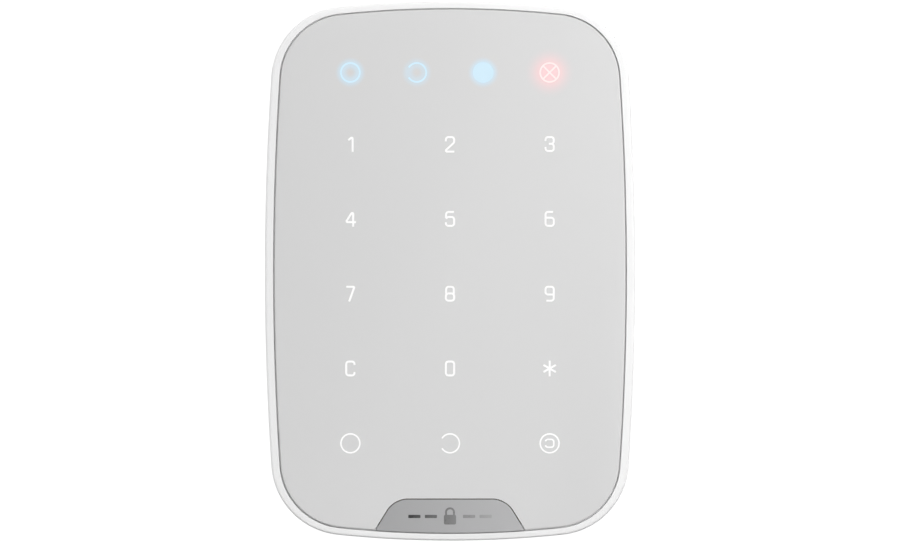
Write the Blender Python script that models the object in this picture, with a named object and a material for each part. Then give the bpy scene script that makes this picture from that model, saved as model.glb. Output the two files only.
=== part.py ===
"""Wall-mounted alarm keypad: a touch keypad unit that slides down onto a wall bracket.

The wall is the plane y = 0, the keypad faces -Y, X is to the viewer's right and Z is up.
Sizes are in millimetres up to the point where a mesh is made.
"""

import math

import bmesh
import bpy
from mathutils import Matrix, Vector

MM = 0.001

# Outline of the keypad unit
WIDTH = 103.0
HEIGHT = 150.0
SIDE_RADIUS = 820.0
END_RADIUS = 300.0
CORNER_RADIUS = 20.6
FRONT_FILLET = 0.7
BACK_FILLET = 1.7
WALL = 2.2

# White rim round the touch panel
RIM_SIDE = 2.45
RIM_END = 2.05
PANEL_CORNER_RADIUS = 18.5
LEDGE_WIDTH = 1.5
LEDGE_THICKNESS = 1.15
SEAM = 0.3
PANEL_CHAMFER = 0.12

# Nameplate in the bottom of the panel
NAMEPLATE_TOP_WIDTH = 31.1
NAMEPLATE_HEIGHT = 9.7
NAMEPLATE_SLOPE = 58.0
NAMEPLATE_CORNER_RADIUS = 6.4

# Layers, from the wall towards the front
PAD_HEIGHT = 0.5
BRACKET_THICKNESS = 1.2
FLOOR_THICKNESS = 1.2
CELL_DIAMETER = 10.3
FILM_THICKNESS = 0.2
GUIDE_THICKNESS = 0.35
PANEL_THICKNESS = 0.9
BOARD_THICKNESS = 1.0
LAYER_GAP = 0.25
FIT_GAP = 0.3
CONTACT_GAP = 0.15

# Rear cover and its recess for the bracket
COVER_EDGE = 2.4
COVER_THICKNESS = 1.6
COVER_BORDER_SIDE = 13.7
COVER_BORDER_TOP = 9.5
COVER_BORDER_BOTTOM = 7.0
RECESS_WALL = 1.2
RECESS_CORNER_RADIUS = 6.0
RAMP_LENGTH = 2.4

# Wall bracket
SLIDE_TRAVEL = 5.0
WALL_HOLE_DIAMETER = 4.1
COUNTERSINK_DIAMETER = 7.4
COUNTERSINK_DEPTH = 1.0
PAD_BASE_DIAMETER = 11.2
PAD_TOP_DIAMETER = 10.4
PAD_INSET_SIDE = 6.5
PAD_INSET_TOP = 5.9
PAD_INSET_BOTTOM = 11.0
TAB_WIDTH = 16.7
TAB_HEIGHT = 11.7
TAB_CORNER_RADIUS = 3.6
TAB_SLOT_WIDTH = 1.0
TAB_BRIDGE = 1.1
TAB_END_SLOT = 3.2
HOOK_INSET_SIDE = 7.5
HOOK_INSET_TOP = 29.0
HOOK_INSET_BOTTOM = 17.0
HOOK_WIDTH = 8.0
HOOK_STEM = 2.0
HOOK_LIP = 3.5
HOOK_THICKNESS = 1.2

# Case screws, their cups in the cover and their posts in the housing
SCREW_INSET_SIDE = 8.5
SCREW_INSET_END = 24.0
SCREW_HEAD_DIAMETER = 2.7
SCREW_HEAD_HEIGHT = 1.1
SCREW_SHANK_DIAMETER = 1.8
SCREW_SHANK_LENGTH = 6.5
SCREW_HEAD_DEPTH = 1.3
POST_DIAMETER = 5.4
POST_WEB = 1.2
CUP_FLOOR = 1.0

# Battery frame, cells and contacts
CELL_LENGTH = 44.5
CELL_COUNT = 4
CELL_CLEARANCE = 0.3
CELL_EDGE = 0.3
NUB_DIAMETER = 3.8
NUB_HEIGHT = 1.0
DIVIDER = 0.8
FRAME_WALL = 1.2
CONTACT_THICKNESS = 0.4
CONTACT_HEIGHT = 7.0
COIL_LENGTH = 4.0
COIL_BASE_DIAMETER = 7.2
COIL_TIP_DIAMETER = 4.4
COIL_WIRE = 0.6
COIL_TURNS = 3.5

# Main board and the indicators in front of it
BOARD_MARGIN_END = 9.0
BOARD_CORNER_RADIUS = 9.0
BOARD_POST_GAP = 0.5
LED_COUNT = 4
LED_INSET_TOP = 19.8
LED_OUTER_SPAN = 55.4
LED_SIZE = (2.0, 0.4, 1.6)
LED_WINDOW_MARGIN = 0.4

# Power switch behind the gap under the bracket
SWITCH_OPENING_WIDTH = 26.0
SWITCH_OPENING_HEIGHT = 8.0
SWITCH_CASE = (25.2, 4.6, 7.4)
SWITCH_KNOB = (4.4, 1.4, 4.8)
SWITCH_STEM = (2.4, 2.0)
SWITCH_STEM_DEPTH = 2.0
SWITCH_KNOB_DEPTH = 0.6
SWITCH_KNOB_X = 5.0
SWITCH_TRAVEL = 4.0
SWITCH_BOARD = (26.6, 1.0, 9.0)
HEADER_SIZE = (12.0, 2.4)
HEADER_RISE = 2.25

# Tamper plunger behind the break-away tab
TAMPER_FROM_TAB_EDGE = 5.0
TAMPER_ABOVE_TAB_EDGE = 3.4
PLUNGER_DIAMETER = 2.4
PLUNGER_ROUNDING = 0.4
PLUNGER_FLANGE_DIAMETER = 4.2
PLUNGER_FLANGE_THICKNESS = 0.8
PLUNGER_STEM_DIAMETER = 1.6
PLUNGER_TRAVEL = 1.0
PLUNGER_STEM_ENTRY = 0.4
TAMPER_SPRING_LENGTH = 2.3
TAMPER_SPRING_DIAMETER = 2.9
TAMPER_SPRING_WIRE = 0.36
TAMPER_SPRING_TURNS = 3.0
TAMPER_BODY_SIDE = 6.5

# Parts on the back of the main board. A size is (X, height above the board, Z)
BUZZER_DIAMETER = 13.0
BUZZER_HEIGHT = 5.0
BUZZER_PORT_DIAMETER = 2.0
BUZZER_PORT_DEPTH = 1.2
CAPACITOR_DIAMETER = 6.3
CAPACITOR_HEIGHT = 5.2
RADIO_SIZE = (20.0, 2.6, 14.0)
CONTROLLER_SIZE = (10.0, 1.2, 10.0)
TOUCH_CHIP_SIZE = (7.0, 1.0, 7.0)
CONNECTOR_SIZE = (14.0, 2.0, 4.0)
ANTENNA_LENGTH = 34.0
ANTENNA_HEIGHT = 5.0
ANTENNA_ARM = 1.4
ANTENNA_THICKNESS = 0.5
ANTENNA_FEED_SPACING = 4.2
ANTENNA_X = -8.5
PART_SPACING = 4.0
SMALL_BEVEL = 0.25

# Smoothness of the round shapes
SIDE_STEPS = 3
CORNER_STEPS = 8
END_STEPS = 4
FILLET_STEPS = 3
RECT_STEPS = 5
ROUND_STEPS = 24
SMALL_ROUND_STEPS = 16
COIL_STEPS = 12
THROUGH = 1.0

# Depths worked out from the layers; every one is a y value
BACK_Y = -PAD_HEIGHT
BRACKET_FRONT_Y = BACK_Y - BRACKET_THICKNESS
FLOOR_BACK_Y = BRACKET_FRONT_Y - FIT_GAP
FLOOR_FRONT_Y = FLOOR_BACK_Y - FLOOR_THICKNESS
CELL_BACK_Y = FLOOR_BACK_Y
CELL_FRONT_Y = CELL_BACK_Y - CELL_DIAMETER
FILM_BACK_Y = CELL_FRONT_Y - LAYER_GAP
FILM_FRONT_Y = FILM_BACK_Y - FILM_THICKNESS
GUIDE_BACK_Y = FILM_FRONT_Y - LAYER_GAP
GUIDE_FRONT_Y = GUIDE_BACK_Y - GUIDE_THICKNESS
PANEL_BACK_Y = GUIDE_FRONT_Y - LAYER_GAP
FRONT_Y = PANEL_BACK_Y - PANEL_THICKNESS
BOARD_FRONT_Y = CELL_FRONT_Y
BOARD_BACK_Y = BOARD_FRONT_Y + BOARD_THICKNESS
LEDGE_FRONT_Y = PANEL_BACK_Y + LAYER_GAP
LEDGE_BACK_Y = LEDGE_FRONT_Y + LEDGE_THICKNESS
FRAME_BACK_Y = FLOOR_FRONT_Y - FIT_GAP

# Places worked out from the sizes
HALF_WIDTH = WIDTH / 2
HALF_HEIGHT = HEIGHT / 2
PANEL_HALF_WIDTH = HALF_WIDTH - RIM_SIDE
PANEL_HALF_HEIGHT = HALF_HEIGHT - RIM_END
RECESS_HALF_WIDTH = HALF_WIDTH - COVER_BORDER_SIDE
RECESS_TOP = HALF_HEIGHT - COVER_BORDER_TOP
RECESS_BOTTOM = -HALF_HEIGHT + COVER_BORDER_BOTTOM
BRACKET_HALF_WIDTH = RECESS_HALF_WIDTH - FIT_GAP
BRACKET_TOP = RECESS_TOP - FIT_GAP
BRACKET_BOTTOM = RECESS_BOTTOM + SLIDE_TRAVEL + FIT_GAP
BAY_WIDTH = CELL_DIAMETER + 2 * CELL_CLEARANCE
BAY_PITCH = BAY_WIDTH + DIVIDER
BAYS_HALF_WIDTH = (CELL_COUNT * BAY_PITCH - DIVIDER) / 2
BAY_LENGTH = CELL_LENGTH + COIL_LENGTH + 2 * CONTACT_THICKNESS + 5 * FIT_GAP
FRAME_HALF_WIDTH = BAYS_HALF_WIDTH + FRAME_WALL
FRAME_HALF_LENGTH = BAY_LENGTH / 2 + FRAME_WALL
SCREW_X = HALF_WIDTH - SCREW_INSET_SIDE
SCREW_Z = HALF_HEIGHT - SCREW_INSET_END
BOARD_HALF_WIDTH = SCREW_X - POST_DIAMETER / 2 - BOARD_POST_GAP
BOARD_HALF_HEIGHT = HALF_HEIGHT - BOARD_MARGIN_END
TAMPER_X = BRACKET_HALF_WIDTH - TAB_WIDTH + TAMPER_FROM_TAB_EDGE
TAMPER_Z = BRACKET_TOP - TAB_HEIGHT + TAMPER_ABOVE_TAB_EDGE
SWITCH_Z = RECESS_BOTTOM + SWITCH_OPENING_HEIGHT / 2


def remove_everything():
    """Empty the scene."""
    for scene_object in list(bpy.data.objects):
        bpy.data.objects.remove(scene_object, do_unlink=True)


# ---------------------------------------------------------------- outlines

def circles_meet(first, first_radius, second, second_radius):
    """The upper of the two points where two circles cross."""
    across = second - first
    distance = across.length
    along = (first_radius ** 2 - second_radius ** 2 + distance ** 2) / (2 * distance)
    rise = math.sqrt(first_radius ** 2 - along ** 2)
    direction = across / distance
    normal = Vector((-direction.y, direction.x))
    crossings = [first + direction * along + normal * rise, first + direction * along - normal * rise]
    return max(crossings, key=lambda point: point.y)


def arc(centre, radius, start, stop, steps):
    """Points on an arc, without its last one. Angles are in radians."""
    points = []
    for step in range(steps):
        angle = start + (stop - start) * step / steps
        points.append((centre[0] + radius * math.cos(angle), centre[1] + radius * math.sin(angle)))
    return points


def mirrored_loop(quadrant):
    """Close a quadrant, which runs from the +X axis to the +Z axis, into a full loop."""
    left = [(-x, z) for x, z in reversed(quadrant)][1:]
    upper = quadrant + left
    lower = [(x, -z) for x, z in reversed(upper)][1:-1]
    return upper + lower


def outline(half_width, half_height, corner_radius, grow=0.0):
    """A bowed rounded rectangle: a side, a corner and an end arc, tangent to each other, in each quadrant."""
    side_centre = Vector((half_width - SIDE_RADIUS, 0.0))
    end_centre = Vector((0.0, half_height - END_RADIUS))
    corner_centre = circles_meet(side_centre, SIDE_RADIUS - corner_radius,
                                 end_centre, END_RADIUS - corner_radius)
    to_corner = corner_centre - side_centre
    side_angle = math.atan2(to_corner.y, to_corner.x)
    to_corner = corner_centre - end_centre
    end_angle = math.atan2(to_corner.y, to_corner.x)
    quadrant = arc(side_centre, SIDE_RADIUS + grow, 0.0, side_angle, SIDE_STEPS)
    quadrant += arc(corner_centre, corner_radius + grow, side_angle, end_angle, CORNER_STEPS)
    quadrant += arc(end_centre, END_RADIUS + grow, end_angle, math.pi / 2, END_STEPS)
    quadrant.append((0.0, half_height + grow))
    return mirrored_loop(quadrant)


def case_outline(grow=0.0):
    """The outer edge of the keypad unit, moved outwards by grow."""
    return outline(HALF_WIDTH, HALF_HEIGHT, CORNER_RADIUS, grow)


def panel_outline(grow=0.0):
    """The middle of the seam round the touch panel, moved outwards by grow."""
    return outline(PANEL_HALF_WIDTH, PANEL_HALF_HEIGHT, PANEL_CORNER_RADIUS, grow)


def case_half_width_at(height):
    """Half the case's width at a height on its right side."""
    edge = [point for point in case_outline() if point[0] > 0 and point[1] >= 0]
    edge.sort(key=lambda point: point[1])
    for low, high in zip(edge, edge[1:]):
        if low[1] <= height <= high[1]:
            share = (height - low[1]) / (high[1] - low[1])
            return low[0] + share * (high[0] - low[0])
    return edge[-1][0]


def rounded_rectangle(left, right, bottom, top, radius):
    """A rectangle with round corners."""
    centres = [(right - radius, top - radius), (left + radius, top - radius),
               (left + radius, bottom + radius), (right - radius, bottom + radius)]
    points = []
    for turn, centre in enumerate(centres):
        start = turn * math.pi / 2
        points += arc(centre, radius, start, start + math.pi / 2, RECT_STEPS)
        points.append((centre[0] + radius * math.cos(start + math.pi / 2),
                       centre[1] + radius * math.sin(start + math.pi / 2)))
    return points


# ---------------------------------------------------------------- meshes

def loft(rings, closed=False):
    """Skin a row of equal rings, each given as its (x, z) points and its y. Closed joins the ends."""
    mesh = bmesh.new()
    corner_rings = [[mesh.verts.new((x * MM, y * MM, z * MM)) for x, z in points] for points, y in rings]
    pairs = list(zip(corner_rings, corner_rings[1:]))
    if closed:
        pairs.append((corner_rings[-1], corner_rings[0]))
    else:
        mesh.faces.new(corner_rings[0])
        mesh.faces.new(corner_rings[-1])
    for first, second in pairs:
        for index in range(len(first)):
            mesh.faces.new((first[index - 1], first[index], second[index], second[index - 1]))
    bmesh.ops.recalc_face_normals(mesh, faces=mesh.faces)
    return mesh


def prism(points, y_back, y_front):
    """Extrude an outline of (x, z) points along Y."""
    return loft([(points, y_back), (points, y_front)])


def add_block(mesh, low, high):
    """Add a box, given by its lowest and highest corners, to a mesh."""
    middle = [(a + b) / 2 * MM for a, b in zip(low, high)]
    size = [abs(b - a) * MM for a, b in zip(low, high)]
    matrix = Matrix.Translation(middle) @ Matrix.Diagonal((*size, 1.0))
    bmesh.ops.create_cube(mesh, size=1.0, matrix=matrix)


def block(low, high, bevel=0.0):
    """A box, with its edges broken if a bevel is given."""
    mesh = bmesh.new()
    add_block(mesh, low, high)
    if bevel:
        bmesh.ops.bevel(mesh, geom=mesh.edges[:], offset=bevel * MM, offset_type='OFFSET', segments=1,
                        profile=0.5, affect='EDGES')
    return mesh


def add_turned(mesh, profile, centre=(0.0, 0.0), along='Y', steps=ROUND_STEPS):
    """Add a turned solid. The profile is (radius, distance along the axis) pairs, closed on the axis."""
    turned = bmesh.new()
    closed_profile = [(0.0, profile[0][1])] + profile + [(0.0, profile[-1][1])]
    corners = [turned.verts.new((radius * MM, 0.0, height * MM)) for radius, height in closed_profile]
    edges = [turned.edges.new(pair) for pair in zip(corners, corners[1:])]
    bmesh.ops.spin(turned, geom=corners + edges, cent=(0, 0, 0), axis=(0, 0, 1), angle=2 * math.pi,
                   steps=steps, use_merge=True)
    bmesh.ops.remove_doubles(turned, verts=turned.verts, dist=0.001 * MM)
    if along == 'Y':
        bmesh.ops.rotate(turned, verts=turned.verts, matrix=Matrix.Rotation(-math.pi / 2, 3, 'X'))
        bmesh.ops.translate(turned, verts=turned.verts, vec=(centre[0] * MM, 0.0, centre[1] * MM))
    bmesh.ops.recalc_face_normals(turned, faces=turned.faces)
    scratch = bpy.data.meshes.new("scratch")
    turned.to_mesh(scratch)
    turned.free()
    mesh.from_mesh(scratch)
    bpy.data.meshes.remove(scratch)


def turned_solid(profile, **placing):
    """A turned solid as a mesh of its own."""
    mesh = bmesh.new()
    add_turned(mesh, profile, **placing)
    return mesh


def add_prism_along_x(mesh, points, left, right):
    """Add a solid extruded along X from an outline of (y, z) points."""
    corners = [mesh.verts.new((left * MM, y * MM, z * MM)) for y, z in points]
    face = mesh.faces.new(corners)
    swept = bmesh.ops.extrude_face_region(mesh, geom=[face])
    moved = [item for item in swept["geom"] if isinstance(item, bmesh.types.BMVert)]
    bmesh.ops.translate(mesh, verts=moved, vec=((right - left) * MM, 0.0, 0.0))
    bmesh.ops.recalc_face_normals(mesh, faces=mesh.faces)


# ---------------------------------------------------------------- objects

MATERIALS = {
    "white_plastic": ((0.86, 0.86, 0.86), 0.42, 0.0),
    "panel_grey": ((0.69, 0.69, 0.69), 0.35, 0.0),
    "nameplate_grey": ((0.40, 0.40, 0.41), 0.35, 0.0),
    "clear_acrylic": ((0.82, 0.88, 0.92), 0.12, 0.0),
    "sensor_polyester": ((0.78, 0.66, 0.42), 0.30, 0.0),
    "board_green": ((0.05, 0.22, 0.12), 0.45, 0.0),
    "frame_plastic": ((0.70, 0.70, 0.70), 0.50, 0.0),
    "cell_jacket": ((0.10, 0.13, 0.18), 0.35, 0.4),
    "spring_nickel": ((0.72, 0.71, 0.68), 0.25, 1.0),
    "screw_steel": ((0.20, 0.20, 0.21), 0.35, 1.0),
    "shield_tin": ((0.65, 0.65, 0.63), 0.30, 1.0),
    "black_plastic": ((0.02, 0.02, 0.02), 0.45, 0.0),
    "led_resin": ((0.90, 0.90, 0.86), 0.20, 0.0),
}


def material(name):
    """The named material, made the first time that it is asked for."""
    made = bpy.data.materials.get(name)
    if made:
        return made
    colour, roughness, metallic = MATERIALS[name]
    made = bpy.data.materials.new(name)
    made.use_nodes = True
    shader = made.node_tree.nodes["Principled BSDF"]
    shader.inputs["Base Color"].default_value = (*colour, 1.0)
    shader.inputs["Roughness"].default_value = roughness
    shader.inputs["Metallic"].default_value = metallic
    return made


def add_object(name, mesh, material_name, parent, place=(0.0, 0.0, 0.0), smooth_angle=32.0):
    """Turn a mesh into a named object at a place given in its parent's frame."""
    data = bpy.data.meshes.new(name)
    mesh.to_mesh(data)
    mesh.free()
    data.materials.append(material(material_name))
    data.shade_smooth()
    data.set_sharp_from_angle(angle=math.radians(smooth_angle))
    made = bpy.data.objects.new(name, data)
    made.location = [value * MM for value in place]
    made.parent = parent
    bpy.context.collection.objects.link(made)
    return made


def add_empty(name, place=(0.0, 0.0, 0.0), parent=None):
    """A frame for pieces that move together."""
    made = bpy.data.objects.new(name, None)
    made.location = [value * MM for value in place]
    made.parent = parent
    bpy.context.collection.objects.link(made)
    return made


def shape_with(target, mesh, operation, name):
    """Cut from, join to or keep the overlap with a target, using a second shape that stays as a guide."""
    data = bpy.data.meshes.new(name)
    mesh.to_mesh(data)
    mesh.free()
    guide = bpy.data.objects.new(name, data)
    guide.location = target.location
    guide.parent = target.parent
    guide.hide_render = True
    guide.display_type = 'WIRE'
    bpy.context.collection.objects.link(guide)
    modifier = target.modifiers.new(name, 'BOOLEAN')
    modifier.operation = operation
    modifier.solver = 'EXACT'
    modifier.object = guide


def add_coil(name, material_name, parent, place, length, base_diameter, tip_diameter, wire, turns, along):
    """A wire coil that starts at its place and runs for its length along +Y or +Z."""
    curve = bpy.data.curves.new(name, 'CURVE')
    curve.dimensions = '3D'
    curve.bevel_depth = wire / 2 * MM
    curve.bevel_resolution = 1
    curve.use_fill_caps = True
    count = int(turns * COIL_STEPS) + 1
    spline = curve.splines.new('POLY')
    spline.points.add(count - 1)
    for index in range(count):
        share = index / (count - 1)
        angle = 2 * math.pi * turns * share
        radius = (base_diameter + (tip_diameter - base_diameter) * share) / 2
        rise = wire / 2 + (length - wire) * share
        across = radius * math.cos(angle)
        aside = radius * math.sin(angle)
        point = (across, rise, aside) if along == 'Y' else (across, aside, rise)
        spline.points[index].co = (*[value * MM for value in point], 1.0)
    curve.materials.append(material(material_name))
    made = bpy.data.objects.new(name, curve)
    made.location = [value * MM for value in place]
    made.parent = parent
    bpy.context.collection.objects.link(made)


# ---------------------------------------------------------------- bracket

def pad_places():
    """The centres of the four wall screws, as (x, z)."""
    across = BRACKET_HALF_WIDTH - PAD_INSET_SIDE
    top = BRACKET_TOP - PAD_INSET_TOP
    bottom = BRACKET_BOTTOM + PAD_INSET_BOTTOM
    return [(side * across, height) for height in (top, bottom) for side in (-1, 1)]


def hook_places():
    """The middle x and the lower z of each hook's stem."""
    across = BRACKET_HALF_WIDTH - HOOK_INSET_SIDE
    top = BRACKET_TOP - HOOK_INSET_TOP
    bottom = BRACKET_BOTTOM + HOOK_INSET_BOTTOM
    return [(side * across, height) for height in (top, bottom) for side in (-1, 1)]


def hook_profile(bottom):
    """Side view of a hook: a stem through the cover's floor and a lip that points up behind it."""
    lip_back = FLOOR_FRONT_Y - FIT_GAP
    lip_front = lip_back - HOOK_THICKNESS
    root = BRACKET_FRONT_Y + BRACKET_THICKNESS / 2
    stem_top = bottom + HOOK_STEM
    lip_top = stem_top + HOOK_LIP
    return [(root, bottom), (lip_front, bottom), (lip_front, lip_top), (lip_back, lip_top),
            (lip_back, stem_top), (root, stem_top)]


def tab_slots():
    """Through slots that leave the tamper tab held by thin bridges."""
    mesh = bmesh.new()
    back = BACK_Y + PAD_HEIGHT + THROUGH
    front = BRACKET_FRONT_Y - THROUGH
    inner_x = BRACKET_HALF_WIDTH - TAB_WIDTH
    lower_z = BRACKET_TOP - TAB_HEIGHT
    slot = TAB_SLOT_WIDTH
    corner_x = inner_x + TAB_CORNER_RADIUS
    corner_z = lower_z + TAB_CORNER_RADIUS
    add_block(mesh, (inner_x - slot, front, BRACKET_TOP - TAB_END_SLOT),
              (inner_x, back, BRACKET_TOP + THROUGH))
    add_block(mesh, (BRACKET_HALF_WIDTH - TAB_END_SLOT, front, lower_z - slot),
              (BRACKET_HALF_WIDTH + THROUGH, back, lower_z))
    add_block(mesh, (corner_x + TAB_BRIDGE, front, lower_z - slot),
              (BRACKET_HALF_WIDTH - TAB_END_SLOT - TAB_BRIDGE, back, lower_z))
    centre = (corner_x, corner_z)
    halfway = math.radians(225.0)
    inner_arc = arc(centre, TAB_CORNER_RADIUS, math.pi, halfway, RECT_STEPS + 1)
    outer_arc = arc(centre, TAB_CORNER_RADIUS + slot, math.pi, halfway, RECT_STEPS + 1)
    top = BRACKET_TOP - TAB_END_SLOT - TAB_BRIDGE
    bent_slot = [(inner_x, top)] + inner_arc + list(reversed(outer_arc)) + [(inner_x - slot, top)]
    bent = prism(bent_slot, back, front)
    scratch = bpy.data.meshes.new("scratch")
    bent.to_mesh(scratch)
    bent.free()
    mesh.from_mesh(scratch)
    bpy.data.meshes.remove(scratch)
    return mesh


def build_bracket():
    """The wall plate with its screw pads, tamper tab and hooks."""
    plate = rounded_rectangle(-BRACKET_HALF_WIDTH, BRACKET_HALF_WIDTH, BRACKET_BOTTOM, BRACKET_TOP,
                              RECESS_CORNER_RADIUS - FIT_GAP)
    bracket = add_object("wall_bracket", prism(plate, BACK_Y, BRACKET_FRONT_Y), "white_plastic", None)
    raised = bmesh.new()
    holes = tab_slots()
    pad_slope = (PAD_BASE_DIAMETER - PAD_TOP_DIAMETER) / 2 / PAD_HEIGHT
    sunk = BRACKET_THICKNESS / 2
    sink_start = BRACKET_FRONT_Y + COUNTERSINK_DEPTH
    for x, z in pad_places():
        add_turned(raised, [(PAD_TOP_DIAMETER / 2, 0.0),
                            (PAD_BASE_DIAMETER / 2 + pad_slope * sunk, BACK_Y - sunk)], centre=(x, z))
        add_turned(holes, [(WALL_HOLE_DIAMETER / 2, THROUGH), (WALL_HOLE_DIAMETER / 2, sink_start),
                           (COUNTERSINK_DIAMETER / 2, BRACKET_FRONT_Y),
                           (COUNTERSINK_DIAMETER / 2, BRACKET_FRONT_Y - THROUGH)],
                   centre=(x, z), steps=SMALL_ROUND_STEPS)
    for x, z in hook_places():
        add_prism_along_x(raised, hook_profile(z), x - HOOK_WIDTH / 2, x + HOOK_WIDTH / 2)
    shape_with(bracket, raised, 'UNION', "bracket_pads_and_hooks")
    shape_with(bracket, holes, 'DIFFERENCE', "bracket_holes")


# ---------------------------------------------------------------- case

def fillet_rings(y_edge, radius, direction, entering):
    """Rings of the case outline round a quarter fillet that ends on the face at y_edge."""
    rings = []
    for step in range(FILLET_STEPS + 1):
        angle = math.pi / 2 * step / FILLET_STEPS
        if not entering:
            angle = math.pi / 2 - angle
        inset = radius * (1 - math.cos(angle))
        drop = radius * (1 - math.sin(angle))
        rings.append((case_outline(-inset), y_edge + direction * drop))
    return rings


def screw_places():
    """The centres of the four case screws, as (x, z)."""
    return [(side * SCREW_X, end * SCREW_Z) for end in (1, -1) for side in (-1, 1)]


def cup_front_y():
    """The front face of the screw cups in the cover."""
    return BACK_Y - SCREW_HEAD_DEPTH - SCREW_HEAD_HEIGHT - FIT_GAP - CUP_FLOOR


def build_housing(unit):
    """The white shell: side wall, front rim, the ledge behind the panel and four screw posts."""
    rings = fillet_rings(BACK_Y, BACK_FILLET, -1, entering=False)
    rings += fillet_rings(FRONT_Y, FRONT_FILLET, 1, entering=True)
    rings += [(panel_outline(SEAM / 2), FRONT_Y), (panel_outline(SEAM / 2), LEDGE_FRONT_Y),
              (panel_outline(-LEDGE_WIDTH), LEDGE_FRONT_Y), (panel_outline(-LEDGE_WIDTH), LEDGE_BACK_Y),
              (case_outline(-WALL), LEDGE_BACK_Y), (case_outline(-WALL), BACK_Y)]
    housing = add_object("front_housing", loft(rings, closed=True), "white_plastic", unit)
    post_back = cup_front_y() - FIT_GAP
    post_front = LEDGE_BACK_Y + FIT_GAP
    webs = bmesh.new()
    posts = bmesh.new()
    pilots = bmesh.new()
    hole_radius = SCREW_SHANK_DIAMETER / 2 + FIT_GAP
    pilot_end = cup_front_y() + CUP_FLOOR - SCREW_SHANK_LENGTH - THROUGH
    wall_x = case_half_width_at(SCREW_Z) - WALL / 2
    for x, z in screw_places():
        side = math.copysign(1.0, x)
        add_block(webs, (x, post_front + FIT_GAP, z - POST_WEB / 2),
                  (side * wall_x, post_back - FIT_GAP, z + POST_WEB / 2))
        add_turned(posts, [(POST_DIAMETER / 2, post_back), (POST_DIAMETER / 2, post_front)],
                   centre=(x, z), steps=SMALL_ROUND_STEPS)
        add_turned(pilots, [(hole_radius, post_back + THROUGH), (hole_radius, pilot_end)],
                   centre=(x, z), steps=SMALL_ROUND_STEPS)
    shape_with(housing, webs, 'UNION', "housing_webs")
    shape_with(housing, posts, 'UNION', "housing_posts")
    shape_with(housing, pilots, 'DIFFERENCE', "housing_pilot_holes")


def nameplate_outline(grow=0.0):
    """A trapezoid with round upper corners that runs out past the panel's bottom edge."""
    slope = math.radians(NAMEPLATE_SLOPE)
    top = -PANEL_HALF_HEIGHT + NAMEPLATE_HEIGHT + grow
    bottom = -HALF_HEIGHT - THROUGH
    side_shift = grow * (1 / math.sin(slope) - 1 / math.tan(slope))
    corner_x = NAMEPLATE_TOP_WIDTH / 2 + side_shift
    radius = NAMEPLATE_CORNER_RADIUS + grow
    tangent = radius * math.tan(slope / 2)
    centre_x = corner_x - tangent
    centre_z = top - radius
    foot_x = corner_x + (top - bottom) / math.tan(slope)
    right = arc((centre_x, centre_z), radius, math.pi / 2 - slope, math.pi / 2, RECT_STEPS)
    right.append((centre_x, top))
    right = [(foot_x, bottom)] + right
    left = [(-x, z) for x, z in reversed(right)]
    return right + left


def panel_solid():
    """The touch panel before the nameplate is let in."""
    edge = panel_outline(-SEAM / 2)
    return loft([(edge, PANEL_BACK_Y), (edge, FRONT_Y + PANEL_CHAMFER),
                 (panel_outline(-SEAM / 2 - PANEL_CHAMFER), FRONT_Y)])


def build_front(unit):
    """The touch panel and the nameplate that closes the notch in it."""
    panel = add_object("touch_panel", panel_solid(), "panel_grey", unit)
    notch = prism(nameplate_outline(), PANEL_BACK_Y + THROUGH, FRONT_Y - THROUGH)
    shape_with(panel, notch, 'DIFFERENCE', "panel_notch")
    plate = prism(nameplate_outline(-FIT_GAP), PANEL_BACK_Y, FRONT_Y)
    nameplate = add_object("nameplate", plate, "nameplate_grey", unit)
    bounds = prism(panel_outline(-SEAM / 2), PANEL_BACK_Y + THROUGH, FRONT_Y - THROUGH)
    shape_with(nameplate, bounds, 'INTERSECT', "nameplate_bounds")


def recess_ring(bottom, grow=0.0):
    """The recess outline with its lower edge at a given height."""
    return rounded_rectangle(-RECESS_HALF_WIDTH - grow, RECESS_HALF_WIDTH + grow, bottom - grow,
                             RECESS_TOP + grow, RECESS_CORNER_RADIUS + grow)


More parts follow.
